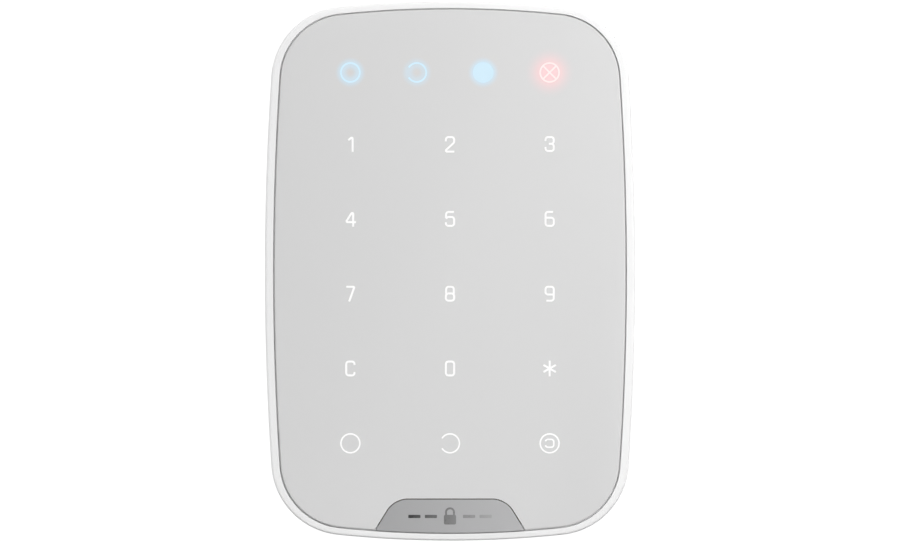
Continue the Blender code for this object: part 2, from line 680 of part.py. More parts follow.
def build_cover(unit):
    """The rear cover: a stepped plate with the bracket's recess, openings in its floor and screw cups."""
    edge = case_outline(-COVER_EDGE - SEAM / 2)
    cover = add_object("rear_cover", prism(edge, BACK_Y, BACK_Y - COVER_THICKNESS), "white_plastic", unit)
    sunk = BACK_Y - COVER_THICKNESS / 2
    tub = prism(recess_ring(RECESS_BOTTOM, RECESS_WALL), sunk, FLOOR_FRONT_Y)
    shape_with(cover, tub, 'UNION', "cover_tub")
    cups = bmesh.new()
    screw_holes = bmesh.new()
    head_hole = SCREW_HEAD_DIAMETER / 2 + FIT_GAP
    shank_hole = SCREW_SHANK_DIAMETER / 2 + FIT_GAP
    step_y = cup_front_y() + CUP_FLOOR
    hole_profile = [(head_hole, THROUGH), (head_hole, step_y), (shank_hole, step_y),
                    (shank_hole, cup_front_y() - THROUGH)]
    for x, z in screw_places():
        add_turned(cups, [(POST_DIAMETER / 2, sunk), (POST_DIAMETER / 2, cup_front_y())],
                   centre=(x, z), steps=SMALL_ROUND_STEPS)
        add_turned(screw_holes, hole_profile, centre=(x, z), steps=SMALL_ROUND_STEPS)
    shape_with(cover, cups, 'UNION', "cover_cups")
    shape_with(cover, screw_holes, 'DIFFERENCE', "cover_screw_holes")
    ramp_per_depth = RAMP_LENGTH / (BACK_Y - FLOOR_BACK_Y)
    mouth = recess_ring(RECESS_BOTTOM - ramp_per_depth * (0.0 - FLOOR_BACK_Y))
    recess = loft([(mouth, 0.0), (recess_ring(RECESS_BOTTOM), FLOOR_BACK_Y)])
    shape_with(cover, recess, 'DIFFERENCE', "cover_recess")
    openings = bmesh.new()
    back = FLOOR_BACK_Y + FIT_GAP
    front = FLOOR_FRONT_Y - THROUGH
    add_block(openings, (-BAYS_HALF_WIDTH, front, -BAY_LENGTH / 2), (BAYS_HALF_WIDTH, back, BAY_LENGTH / 2))
    add_block(openings, (-SWITCH_OPENING_WIDTH / 2, front, RECESS_BOTTOM),
              (SWITCH_OPENING_WIDTH / 2, back, RECESS_BOTTOM + SWITCH_OPENING_HEIGHT))
    for x, z in hook_places():
        half = HOOK_WIDTH / 2 + FIT_GAP
        add_block(openings, (x - half, front, z - SLIDE_TRAVEL - FIT_GAP),
                  (x + half, back, z + HOOK_STEM + FIT_GAP))
    plunger_hole = PLUNGER_DIAMETER / 2 + FIT_GAP
    add_turned(openings, [(plunger_hole, back), (plunger_hole, front)],
               centre=(TAMPER_X, TAMPER_Z), steps=SMALL_ROUND_STEPS)
    shape_with(cover, openings, 'DIFFERENCE', "cover_openings")


def build_screws(unit):
    """Four case screws, each with its origin on its own axis."""
    head_back = BACK_Y - SCREW_HEAD_DEPTH
    profile = [(SCREW_HEAD_DIAMETER / 2, 0.0), (SCREW_HEAD_DIAMETER / 2, -SCREW_HEAD_HEIGHT),
               (SCREW_SHANK_DIAMETER / 2, -SCREW_HEAD_HEIGHT),
               (SCREW_SHANK_DIAMETER / 2, -SCREW_HEAD_HEIGHT - SCREW_SHANK_LENGTH)]
    for number, (x, z) in enumerate(screw_places(), start=1):
        screw = turned_solid(profile, steps=SMALL_ROUND_STEPS)
        add_object(f"case_screw_{number}", screw, "screw_steel", unit, place=(x, head_back, z))


# ---------------------------------------------------------------- light and touch layers

def led_places():
    """The centres of the indicator LEDs, as (x, z)."""
    spacing = LED_OUTER_SPAN / (LED_COUNT - 1)
    first_x = -LED_OUTER_SPAN / 2
    return [(first_x + spacing * index, HALF_HEIGHT - LED_INSET_TOP) for index in range(LED_COUNT)]


def build_layers(unit):
    """The light guide, the touch sensor film and the indicator LEDs between them and the board."""
    sheet = panel_outline(-LEDGE_WIDTH - FIT_GAP)
    add_object("light_guide", prism(sheet, GUIDE_BACK_Y, GUIDE_FRONT_Y), "clear_acrylic", unit)
    film = add_object("touch_sensor_film", prism(sheet, FILM_BACK_Y, FILM_FRONT_Y), "sensor_polyester", unit)
    windows = bmesh.new()
    width, thickness, height = LED_SIZE
    half = (width / 2 + LED_WINDOW_MARGIN, height / 2 + LED_WINDOW_MARGIN)
    led_back = BOARD_FRONT_Y - CONTACT_GAP
    for number, (x, z) in enumerate(led_places(), start=1):
        add_block(windows, (x - half[0], FILM_FRONT_Y - THROUGH, z - half[1]),
                  (x + half[0], FILM_BACK_Y + THROUGH, z + half[1]))
        led = block((-width / 2, -thickness, -height / 2), (width / 2, 0.0, height / 2))
        add_object(f"indicator_led_{number}", led, "led_resin", unit, place=(x, led_back, z))
    shape_with(film, windows, 'DIFFERENCE', "film_windows")


# ---------------------------------------------------------------- power supply

def bay_x(index):
    """The middle of a battery bay."""
    return (index - (CELL_COUNT - 1) / 2) * BAY_PITCH


def build_battery_frame(unit):
    """A frame with one open bay for each cell and a channel for the contacts at each end."""
    frame = add_object("battery_frame", block((-FRAME_HALF_WIDTH, CELL_FRONT_Y, -FRAME_HALF_LENGTH),
                                              (FRAME_HALF_WIDTH, FRAME_BACK_Y, FRAME_HALF_LENGTH)),
                       "frame_plastic", unit)
    back = FRAME_BACK_Y + THROUGH
    front = CELL_FRONT_Y - THROUGH
    channel = CONTACT_THICKNESS + 2 * FIT_GAP
    channel_front = CELL_BACK_Y - CELL_DIAMETER / 2 - CONTACT_HEIGHT / 2 - FIT_GAP
    middles = bmesh.new()
    for index in range(CELL_COUNT):
        add_block(middles, (bay_x(index) - BAY_WIDTH / 2, front, -BAY_LENGTH / 2 + channel / 2),
                  (bay_x(index) + BAY_WIDTH / 2, back, BAY_LENGTH / 2 - channel / 2))
    shape_with(frame, middles, 'DIFFERENCE', "frame_bays")
    ends = bmesh.new()
    for end in (-1, 1):
        add_block(ends, (-BAYS_HALF_WIDTH, channel_front, end * (BAY_LENGTH / 2 - channel)),
                  (BAYS_HALF_WIDTH, back, end * BAY_LENGTH / 2))
    shape_with(frame, ends, 'DIFFERENCE', "frame_channels")


def build_cells(unit):
    """Cells that point up and down in turn, each with a coil spring at its flat end."""
    radius = CELL_DIAMETER / 2
    shoulder = CELL_LENGTH - NUB_HEIGHT
    profile = [(radius - CELL_EDGE, 0.0), (radius, CELL_EDGE), (radius, shoulder - CELL_EDGE),
               (radius - CELL_EDGE, shoulder), (NUB_DIAMETER / 2, shoulder), (NUB_DIAMETER / 2, CELL_LENGTH)]
    axis_y = CELL_BACK_Y - radius
    flat_end = BAY_LENGTH / 2 - FIT_GAP - CONTACT_THICKNESS - FIT_GAP - COIL_LENGTH - FIT_GAP
    coil_start = BAY_LENGTH / 2 - FIT_GAP - CONTACT_THICKNESS - FIT_GAP
    for index in range(CELL_COUNT):
        up = 1 if index % 2 == 0 else -1
        cell = add_object(f"battery_cell_{index + 1}", turned_solid(profile, along='Z'), "cell_jacket", unit,
                          place=(bay_x(index), axis_y, -up * flat_end))
        cell.rotation_euler.x = 0.0 if up > 0 else math.pi
        holder = add_empty(f"coil_seat_{index + 1}", (bay_x(index), axis_y, -up * coil_start), unit)
        holder.rotation_euler.x = cell.rotation_euler.x
        add_coil(f"battery_spring_{index + 1}", "spring_nickel", holder, (0.0, 0.0, 0.0), COIL_LENGTH,
                 COIL_BASE_DIAMETER, COIL_TIP_DIAMETER, COIL_WIRE, COIL_TURNS, along='Z')


def build_contacts(unit):
    """Contact plates that join the cells in a row: two bridges on top, one bridge and two ends below."""
    axis_y = CELL_BACK_Y - CELL_DIAMETER / 2
    plate_z = BAY_LENGTH / 2 - FIT_GAP - CONTACT_THICKNESS / 2
    plates = [(0, 1, 1), (2, 3, 1), (0, 0, -1), (1, 2, -1), (3, 3, -1)]
    for number, (first, last, end) in enumerate(plates, start=1):
        half = (bay_x(last) - bay_x(first) + BAY_WIDTH) / 2 - CELL_CLEARANCE
        middle = (bay_x(first) + bay_x(last)) / 2
        plate = block((-half, -CONTACT_HEIGHT / 2, -CONTACT_THICKNESS / 2),
                      (half, CONTACT_HEIGHT / 2, CONTACT_THICKNESS / 2))
        place = (middle, axis_y, end * plate_z)
        add_object(f"contact_plate_{number}", plate, "spring_nickel", unit, place=place)


# ---------------------------------------------------------------- main board and its parts

def on_board(name, size, place, unit, material_name):
    """A block on the back of the main board, with its middle at place (x, z)."""
    width, height, depth = size
    piece = block((-width / 2, 0.0, -depth / 2), (width / 2, height, depth / 2), SMALL_BEVEL)
    x, z = place
    return add_object(name, piece, material_name, unit, place=(x, BOARD_BACK_Y + CONTACT_GAP, z))


def build_board(unit):
    """The main board, with a window for the battery frame."""
    shape = rounded_rectangle(-BOARD_HALF_WIDTH, BOARD_HALF_WIDTH, -BOARD_HALF_HEIGHT, BOARD_HALF_HEIGHT,
                              BOARD_CORNER_RADIUS)
    board = add_object("main_board", prism(shape, BOARD_BACK_Y, BOARD_FRONT_Y), "board_green", unit)
    window = block((-FRAME_HALF_WIDTH - FIT_GAP, BOARD_FRONT_Y - THROUGH, -FRAME_HALF_LENGTH - FIT_GAP),
                   (FRAME_HALF_WIDTH + FIT_GAP, BOARD_BACK_Y + THROUGH, FRAME_HALF_LENGTH + FIT_GAP))
    shape_with(board, window, 'DIFFERENCE', "board_window")


def build_antenna(unit, height):
    """A flat metal antenna on two legs, standing on the board."""
    half = ANTENNA_LENGTH / 2
    top = ANTENNA_HEIGHT
    under = top - ANTENNA_ARM
    feed = -half + ANTENNA_FEED_SPACING
    points = [(-half, 0.0), (-half + ANTENNA_ARM, 0.0), (-half + ANTENNA_ARM, under),
              (feed, under), (feed, 0.0), (feed + ANTENNA_ARM, 0.0), (feed + ANTENNA_ARM, under),
              (half, under), (half, top), (-half, top)]
    mesh = bmesh.new()
    corners = [mesh.verts.new((x * MM, y * MM, -ANTENNA_THICKNESS / 2 * MM)) for x, y in points]
    swept = bmesh.ops.extrude_face_region(mesh, geom=[mesh.faces.new(corners)])
    moved = [item for item in swept["geom"] if isinstance(item, bmesh.types.BMVert)]
    bmesh.ops.translate(mesh, verts=moved, vec=(0.0, 0.0, ANTENNA_THICKNESS * MM))
    bmesh.ops.recalc_face_normals(mesh, faces=mesh.faces)
    add_object("antenna", mesh, "spring_nickel", unit, place=(ANTENNA_X, BOARD_BACK_Y + CONTACT_GAP, height))


def build_board_parts(unit):
    """Radio, antenna and touch chip above the battery frame; sounder, controller and connector below it."""
    upper = FRAME_HALF_LENGTH + PART_SPACING
    lower = -upper
    radio_width, _, radio_depth = RADIO_SIZE
    radio_x = -BOARD_HALF_WIDTH + radio_width / 2 + PART_SPACING
    on_board("radio_module", RADIO_SIZE, (radio_x, upper + radio_depth / 2), unit, "shield_tin")
    touch_x = radio_x + radio_width / 2 + PART_SPACING + TOUCH_CHIP_SIZE[0] / 2
    on_board("touch_chip", TOUCH_CHIP_SIZE, (touch_x, upper + TOUCH_CHIP_SIZE[2] / 2), unit, "black_plastic")
    build_antenna(unit, BOARD_HALF_HEIGHT - PART_SPACING)
    base_y = BOARD_BACK_Y + CONTACT_GAP
    capacitor_x = touch_x + TOUCH_CHIP_SIZE[0] / 2 + PART_SPACING + CAPACITOR_DIAMETER / 2
    can = turned_solid([(CAPACITOR_DIAMETER / 2, 0.0), (CAPACITOR_DIAMETER / 2, CAPACITOR_HEIGHT)],
                       steps=SMALL_ROUND_STEPS)
    capacitor_z = upper + CAPACITOR_DIAMETER / 2
    add_object("capacitor", can, "shield_tin", unit, place=(capacitor_x, base_y, capacitor_z))
    buzzer_radius = BUZZER_DIAMETER / 2
    buzzer_x = -BOARD_HALF_WIDTH + PART_SPACING + buzzer_radius
    port = BUZZER_PORT_DIAMETER / 2
    sounder = turned_solid([(buzzer_radius, 0.0), (buzzer_radius, BUZZER_HEIGHT), (port, BUZZER_HEIGHT),
                            (port, BUZZER_HEIGHT - BUZZER_PORT_DEPTH)])
    add_object("buzzer", sounder, "black_plastic", unit, place=(buzzer_x, base_y, lower - buzzer_radius))
    connector_x = buzzer_x + buzzer_radius + PART_SPACING + CONNECTOR_SIZE[0] / 2
    connector_z = lower - CONNECTOR_SIZE[2] / 2
    on_board("film_connector", CONNECTOR_SIZE, (connector_x, connector_z), unit, "led_resin")
    controller_x = BOARD_HALF_WIDTH - PART_SPACING - CONTROLLER_SIZE[0] / 2
    on_board("controller_chip", CONTROLLER_SIZE, (controller_x, lower - CONTROLLER_SIZE[2] / 2), unit,
             "black_plastic")


# ---------------------------------------------------------------- power switch

def build_power_switch(unit):
    """A slide switch on its own small board; its knob moves along X behind the gap under the bracket."""
    knob_back = FLOOR_BACK_Y - SWITCH_KNOB_DEPTH
    knob_front = knob_back - SWITCH_KNOB[1]
    case_back = min(knob_front, FLOOR_FRONT_Y) - FIT_GAP
    case_front = case_back - SWITCH_CASE[1]
    case_half = (SWITCH_CASE[0] / 2, SWITCH_CASE[2] / 2)
    case = add_object("power_switch_case", block((-case_half[0], case_front, -case_half[1]),
                                                 (case_half[0], case_back, case_half[1]), SMALL_BEVEL),
                      "shield_tin", unit, place=(0.0, 0.0, SWITCH_Z))
    stem_half = (SWITCH_STEM[0] / 2, SWITCH_STEM[1] / 2)
    stem_front = case_back - SWITCH_STEM_DEPTH
    track = block((SWITCH_KNOB_X - SWITCH_TRAVEL - stem_half[0] - FIT_GAP, stem_front - FIT_GAP,
                   -stem_half[1] - FIT_GAP),
                  (SWITCH_KNOB_X + stem_half[0] + FIT_GAP, case_back + THROUGH, stem_half[1] + FIT_GAP))
    shape_with(case, track, 'DIFFERENCE', "switch_track")
    axis = add_empty("power_switch_axis", (SWITCH_KNOB_X, knob_back, SWITCH_Z), unit)
    width, thickness, height = SWITCH_KNOB
    knob_block = block((-width / 2, -thickness, -height / 2), (width / 2, 0.0, height / 2), SMALL_BEVEL)
    knob = add_object("power_switch_knob", knob_block, "black_plastic", axis)
    stem = block((-stem_half[0], stem_front - knob_back, -stem_half[1]),
                 (stem_half[0], -thickness / 2, stem_half[1]))
    shape_with(knob, stem, 'UNION', "knob_stem")
    board_back = case_front - CONTACT_GAP
    board_width, board_thickness, board_height = SWITCH_BOARD
    board_front = board_back - board_thickness
    add_object("switch_board", block((-board_width / 2, board_front, -board_height / 2),
                                     (board_width / 2, board_back, board_height / 2)),
               "board_green", unit, place=(0.0, 0.0, SWITCH_Z))
    header_half = (HEADER_SIZE[0] / 2, HEADER_SIZE[1] / 2)
    add_object("board_header", block((-header_half[0], BOARD_BACK_Y + CONTACT_GAP, -header_half[1]),
                                     (header_half[0], board_front - CONTACT_GAP, header_half[1])),
               "black_plastic", unit, place=(0.0, 0.0, SWITCH_Z + HEADER_RISE))


# ---------------------------------------------------------------- tamper contact

def build_tamper(unit):
    """A plunger that rests on the break-away tab, its return spring and the switch on the main board."""
    tip = FLOOR_BACK_Y
    flange_back = FLOOR_FRONT_Y - FIT_GAP
    flange_front = flange_back - PLUNGER_FLANGE_THICKNESS
    spring_back = flange_front - PLUNGER_TRAVEL - FIT_GAP
    spring_front = spring_back - TAMPER_SPRING_LENGTH
    body_back = spring_front - FIT_GAP
    stem_front = body_back - PLUNGER_STEM_ENTRY
    radius = PLUNGER_DIAMETER / 2
    flange_radius = PLUNGER_FLANGE_DIAMETER / 2
    stem_radius = PLUNGER_STEM_DIAMETER / 2
    profile = [(radius - PLUNGER_ROUNDING, 0.0), (radius, -PLUNGER_ROUNDING), (radius, flange_back - tip),
               (flange_radius, flange_back - tip), (flange_radius, flange_front - tip),
               (stem_radius, flange_front - tip), (stem_radius, stem_front - tip)]
    axis = add_empty("tamper_axis", (TAMPER_X, tip, TAMPER_Z), unit)
    add_object("tamper_plunger", turned_solid(profile, steps=SMALL_ROUND_STEPS), "white_plastic", axis)
    add_coil("tamper_spring", "spring_nickel", unit, (TAMPER_X, spring_front, TAMPER_Z),
             TAMPER_SPRING_LENGTH, TAMPER_SPRING_DIAMETER, TAMPER_SPRING_DIAMETER, TAMPER_SPRING_WIRE,
             TAMPER_SPRING_TURNS, along='Y')
    half = TAMPER_BODY_SIDE / 2
    body_block = block((-half, BOARD_BACK_Y + CONTACT_GAP, -half), (half, body_back, half), SMALL_BEVEL)
    body = add_object("tamper_switch", body_block, "black_plastic", unit, place=(TAMPER_X, 0.0, TAMPER_Z))
    well_radius = stem_radius + FIT_GAP
    well_floor = stem_front - PLUNGER_TRAVEL - FIT_GAP
    well_profile = [(well_radius, body_back + THROUGH), (well_radius, well_floor)]
    well = turned_solid(well_profile, steps=SMALL_ROUND_STEPS)
    shape_with(body, well, 'DIFFERENCE', "tamper_well")


def main():
    """Build the bracket, then the keypad unit that slides on it."""
    remove_everything()
    build_bracket()
    unit = add_empty("keypad_unit")
    build_housing(unit)
    build_front(unit)
    build_cover(unit)
    build_screws(unit)
    build_layers(unit)
    build_battery_frame(unit)
    build_cells(unit)
    build_contacts(unit)
    build_board(unit)
    build_board_parts(unit)
    build_power_switch(unit)
    build_tamper(unit)


main()
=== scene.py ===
"""Looks of the wall-mounted alarm keypad, laid out as an add-on: one operator for each group of pieces."""

import math

import bmesh
import bpy
from bpy.props import FloatProperty, FloatVectorProperty, IntProperty, PointerProperty
from bpy.types import Operator, Panel, PropertyGroup
from mathutils import Matrix, Vector


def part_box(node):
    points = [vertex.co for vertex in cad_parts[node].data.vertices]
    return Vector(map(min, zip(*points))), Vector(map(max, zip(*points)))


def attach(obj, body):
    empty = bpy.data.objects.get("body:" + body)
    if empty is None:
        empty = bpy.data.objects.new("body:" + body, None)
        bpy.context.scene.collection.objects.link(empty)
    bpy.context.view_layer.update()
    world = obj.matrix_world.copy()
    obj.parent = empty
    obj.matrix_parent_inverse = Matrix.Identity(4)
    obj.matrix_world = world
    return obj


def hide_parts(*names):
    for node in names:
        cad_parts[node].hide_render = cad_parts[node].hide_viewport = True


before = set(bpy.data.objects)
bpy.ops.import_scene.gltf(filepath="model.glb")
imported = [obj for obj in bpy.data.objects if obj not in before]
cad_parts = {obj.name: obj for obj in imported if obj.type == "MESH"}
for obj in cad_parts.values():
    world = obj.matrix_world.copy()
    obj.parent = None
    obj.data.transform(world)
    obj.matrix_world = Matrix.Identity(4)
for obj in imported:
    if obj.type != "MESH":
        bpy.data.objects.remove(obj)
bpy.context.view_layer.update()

bl_info = {
    "name": "Wall Keypad Builder",
    "version": (1, 0, 0),
    "blender": (4, 5, 0),
    "location": "View3D > Sidebar > Keypad",
    "description": "Builds the visible pieces of a wall-mounted alarm keypad around its CAD frame",
    "category": "Add Mesh",
}

MM = 0.001
MERGE = 1e-7
SMOOTH_UP_TO = math.radians(35.0)
SOFTEN_FROM = math.radians(40.0)

# Boxes of the CAD nodes that the new pieces stand in for
CASE_LOW, CASE_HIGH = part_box("front_housing")
PANEL_LOW, PANEL_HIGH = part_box("touch_panel")
PLATE_LOW, PLATE_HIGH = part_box("nameplate")
COVER_LOW, COVER_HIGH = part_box("rear_cover")
BRACKET_LOW, BRACKET_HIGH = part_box("wall_bracket")
KNOB_LOW, KNOB_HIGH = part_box("power_switch_knob")
SWITCH_LOW, SWITCH_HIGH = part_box("power_switch_case")
BAYS_LOW, BAYS_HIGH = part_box("battery_frame")
PLUNGER_LOW, PLUNGER_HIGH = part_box("tamper_plunger")
SCREW_NAMES = [f"case_screw_{number}" for number in range(1, 5)]

# Fits
CUT_PAST = 1.0 * MM
RECESS_FIT = 0.3 * MM
SLIDE_ROOM = 5.0 * MM
HAIR = 0.002 * MM

# Case and panel
SIDE_STEPS = 8
CORNER_STEPS = 26
END_STEPS = 10
PANEL_BACK_GAP = 0.25 * MM
LEDGE_THICKNESS = 1.15 * MM
PANEL_ROUNDING = 0.45 * MM
NAMEPLATE_SLOPE = math.radians(58.0)
NAMEPLATE_GAP = 0.3 * MM

# Padlock sign, from the middle of the nameplate
SIGN_PROUD = 0.012 * MM
SIGN_DEPTH = 0.1 * MM
LOCK_HALF_WIDTH = 1.7 * MM
LOCK_BOTTOM = -2.3 * MM
LOCK_TOP = 0.4 * MM
LOCK_CORNER = 0.45 * MM
SHACKLE_HALF_WIDTH = 1.1 * MM
SHACKLE_FOOT = 0.2 * MM
SHACKLE_TOP = 2.2 * MM
SHACKLE_STROKE = 0.55 * MM
SHACKLE_BEND = 1.05 * MM
BAR_ENDS = ((3.6 * MM, 7.0 * MM), (8.2 * MM, 11.6 * MM))
BAR_BOTTOM = -0.5 * MM
BAR_TOP = 0.4 * MM
BAR_CORNER = 0.2 * MM

# Lit legends; the open ring's angles are in degrees
LEGEND_PROUD = 0.016 * MM
LEGEND_DEPTH = 0.12 * MM
SHARP_BEND = 0.1 * MM
ICON_STROKE_SHARE = 0.78
INDICATOR_STROKE_SHARE = 0.9
OPEN_RING_START = 212.0
OPEN_RING_SWEEP = 296.0
RING_STEPS = 64
# From the middle of its ring, in millimetres
HOOK_SIGN = ((-1.15, 0.55), (-1.0, 1.1), (1.15, 1.1), (1.15, -1.1), (-1.0, -1.1), (-1.15, -0.55))
HOOK_SIGN_BEND = 0.7 * MM

# Rear cover
COVER_ROUNDING = 0.15 * MM
RECESS_DEPTH = 1.5 * MM
RECESS_FLOOR = 1.2 * MM
RECESS_WALL = 1.2 * MM
TUB_INSET = 0.8 * MM
RECESS_MOUTH = 0.5 * MM
CUP_RADIUS = 2.7 * MM
HEAD_HOLE_RADIUS = 1.65 * MM
SHANK_HOLE_RADIUS = 1.2 * MM
BAY_FRAME_WALL = 1.2 * MM
SWITCH_OPENING_HALF_WIDTH = 13.0 * MM
SWITCH_OPENING_HEIGHT = 8.0 * MM
PLUNGER_HOLE_RADIUS = 1.5 * MM

# Case screws
SCREW_HEAD_HEIGHT = 1.1 * MM
SCREW_ROUNDING = 0.25 * MM
SHANK_OVERLAP = 0.3 * MM
SHANK_RADIUS = 0.9 * MM
SHANK_TIP_RADIUS = 0.75 * MM
SOCKET_RADIUS = 0.42 * MM
SOCKET_DEPTH = 0.75 * MM
LOBE_RADIUS = 0.26 * MM
LOBE_DEPTH = 0.7 * MM
LOBE_COUNT = 6
SOCKET_PAST = 0.6 * MM
LOBE_PAST = 0.5 * MM

# Wall bracket
BRACKET_THICKNESS = 1.2 * MM
BRACKET_ROUNDING = 0.18 * MM
PAD_SIDE_INSET = 6.5 * MM
PAD_TOP_INSET = 5.9 * MM
PAD_BOTTOM_INSET = 11.0 * MM
PAD_SUNK = 0.4 * MM
SINK_DEPTH = 1.0 * MM
SINK_PAST = 0.2 * MM
SINK_RADIUS = 4.03 * MM
HOOK_SIDE_INSET = 7.5 * MM
HOOK_TOP_INSET = 29.0 * MM
HOOK_BOTTOM_INSET = 17.0 * MM
HOOK_HALF_WIDTH = 4.0 * MM
HOOK_ROOT = 0.6 * MM
HOOK_DEPTH = 1.5 * MM
HOOK_HEIGHT = 2.0 * MM
HOOK_TIP_START = 1.0 * MM
HOOK_TIP_END = 5.5 * MM
HOOK_SHAVE = 0.01 * MM
TAB_BRIDGE = 1.1 * MM
TAB_END_SLOT = 3.2 * MM
TAB_CORNER = 3.6 * MM

# Power switch
SWITCH_CORNER = 0.5 * MM
SWITCH_ROUNDING = 0.3 * MM
TRACK_HALF_HEIGHT = 1.3 * MM
TRACK_DEPTH = 2.3 * MM
TRACK_LEFT = -5.5 * MM
TRACK_RIGHT = 1.5 * MM
KNOB_CORNER = 0.25 * MM
KNOB_ROUNDING = 0.2 * MM
KNOB_HEAD = 1.4 * MM
GROOVE_COUNT = 3
GROOVE_PITCH = 1.1 * MM
GROOVE_HALF_WIDTH = 0.2 * MM
GROOVE_DEPTH = 0.35 * MM
STEM_HALF_WIDTH = 1.2 * MM
STEM_HALF_HEIGHT = 1.0 * MM
STEM_OVERLAP = 0.7 * MM

# Stage, in metres, degrees and millimetres of film
FLOOR_RADIUS = 4.4
BACKDROP_RADIUS = 5.0
BACKDROP_STRENGTH = 1.05
SUN_PLACE = (0.0, -0.25, 0.75)
SUN_ANGLE = 59.0
FILM_WIDTH = 36.0
VIEW_END = 50.0

# Name, middle and size of each glowing card, and the setting that holds its power
CARDS = (
    ("card_right", (0.33, -0.36, 0.14), (0.30, 0.40), "key_power"),
    ("card_back", (0.10, 0.85, 0.10), (0.70, 0.70), "back_power"),
    ("card_front", (-0.30, -1.10, -0.45), (0.80, 0.60), "front_power"),
    ("card_left", (-0.75, 0.12, 0.05), (0.50, 0.80), "side_power"),
)


# ---------------------------------------------------------------- settings

def length(name, description, default):
    """A length property in metres."""
    return FloatProperty(name=name, description=description, default=default, min=0.0, precision=5,
                         unit='LENGTH', subtype='DISTANCE')


def strength(name, description, default):
    """A property for the strength of a light."""
    return FloatProperty(name=name, description=description, default=default, min=0.0)


def colour(name, description, default):
    """A colour property."""
    return FloatVectorProperty(name=name, description=description, default=default, size=3,
                               min=0.0, max=1.0, subtype='COLOR')


class KeypadCaseSettings(PropertyGroup):
    """Shape of the case, the panel in its front and the cover in its back."""
    side_radius: length("Side radius", "Bow of the long sides", 820.0 * MM)
    end_radius: length("End radius", "Bow of the short ends", 300.0 * MM)
    corner_radius: length("Corner radius", "Outer corners of the case", 20.6 * MM)
    panel_corner_radius: length("Panel corner radius", "Corners of the touch panel", 18.5 * MM)
    front_fillet: length("Front fillet", "Rounding of the front edge", 0.7 * MM)
    back_fillet: length("Back fillet", "Rounding of the back edge", 1.7 * MM)
    wall: length("Wall", "Thickness of the side wall", 2.2 * MM)
    seam: length("Seam", "Gap round the panel and round the cover", 0.3 * MM)
    ledge: length("Ledge", "Width of the ledge behind the panel", 1.5 * MM)
    cover_inset: length("Cover inset", "Edge of the cover, from the case's edge", 2.55 * MM)
    cover_thickness: length("Cover thickness", "Border of the rear cover", 1.6 * MM)
    recess_radius: length("Recess radius", "Corners of the bracket's recess", 6.0 * MM)
    ramp: length("Ramp", "Slope at the lower end of the recess", 2.4 * MM)
    nameplate_width: length("Nameplate width", "Sharp top corner to top corner", 31.1 * MM)
    nameplate_radius: length("Nameplate radius", "Top corners of the nameplate", 6.4 * MM)
    soft_edge: length("Soft edge", "Small rounding of the nameplate's edges", 0.06 * MM)


class KeypadBracketSettings(PropertyGroup):
    """Shape of the wall bracket."""
    pad_diameter: length("Pad diameter", "Top of a screw pad", 10.4 * MM)
    pad_flare: length("Pad flare", "Width of the slope round a pad", 0.5 * MM)
    hole_diameter: length("Hole diameter", "Wall screw holes", 4.1 * MM)
    pad_height: length("Pad height", "How far the pads stand proud", 0.5 * MM)
    tab_width: length("Tab width", "Break-away tab", 16.7 * MM)
    tab_height: length("Tab height", "Break-away tab", 11.7 * MM)
    slot_width: length("Slot width", "Slots round the break-away tab", 1.0 * MM)


class KeypadLegendSettings(PropertyGroup):
    """Size and place of the lit legends."""
    digit_width: length("Digit width", "Middle of stroke to middle of stroke", 2.30 * MM)
    digit_height: length("Digit height", "Middle of stroke to middle of stroke", 3.87 * MM)
    stroke: length("Stroke", "Width of a line", 0.55 * MM)
    corner: length("Corner", "Rounding of the digits", 0.72 * MM)
    column_pitch: length("Column pitch", "From key to key, across", 27.7 * MM)
    row_pitch: length("Row pitch", "From key to key, down", 20.8 * MM)
    first_row: length("First row", "Height of the top row of digits", 35.3 * MM)
    icon_radius: length("Icon radius", "Middle of an icon's ring", 2.62 * MM)
    indicator_height: length("Indicator height", "Height of the row of indicators", 55.2 * MM)
    indicator_span: length("Indicator span", "From the first to the last indicator", 55.4 * MM)
    glow: strength("Glow", "Brightness of the lit legends", 1.0)


class KeypadFinishSettings(PropertyGroup):
    """Colours of the visible plastics and lights."""
    case: colour("Case", "White satin plastic", (0.85, 0.85, 0.85))
    panel: colour("Panel", "Grey front sheet", (0.655, 0.655, 0.655))
    nameplate: colour("Nameplate", "Darker grey plate", (0.37, 0.37, 0.375))
    blue: colour("Blue", "Light round the blue indicators", (0.52, 0.80, 1.0))
    red: colour("Red", "Light round the red indicator", (1.0, 0.57, 0.59))


class KeypadStageSettings(PropertyGroup):
    """Camera, backdrop and lights."""
    lens: FloatProperty(name="Lens", description="Focal length in millimetres", default=135.0, min=1.0)
    picture_width: length("Picture width", "Width of the view at the panel", 250.2 * MM)
    floor_drop: length("Floor drop", "Floor below the keypad's middle", 0.45)
    floor_lift: strength("Floor lift", "Light of the floor itself", 0.38)
    key_power: strength("Key power", "Right-hand soft light, in watts", 1.55)
    top_strength: strength("Top strength", "Overhead soft light", 0.80)
    front_power: strength("Front power", "Low soft light in front, in watts", 4.2)
    back_power: strength("Back power", "Soft light behind, in watts", 5.6)
    side_power: strength("Side power", "Left-hand soft light, in watts", 2.0)
    ambient: strength("Ambient", "Light from all round", 0.60)
    from_below: FloatProperty(name="From below", description="Share of the ambient light from below",
                              default=0.3, min=0.0, max=1.0)
    circle_steps: IntProperty(name="Circle steps", description="Sides of a round shape", default=64, min=8)


# ---------------------------------------------------------------- mesh helpers

def circles_meet(first, first_radius, second, second_radius):
    """The upper of the two points where two circles cross."""
    across = second - first
    along = (first_radius ** 2 - second_radius ** 2 + across.length_squared) / (2 * across.length)
    rise = math.sqrt(first_radius ** 2 - along ** 2)
    direction = across.normalized()
    normal = Vector((-direction.y, direction.x))
    ends = [first + direction * along + normal * rise, first + direction * along - normal * rise]
    return max(ends, key=lambda point: point.y)


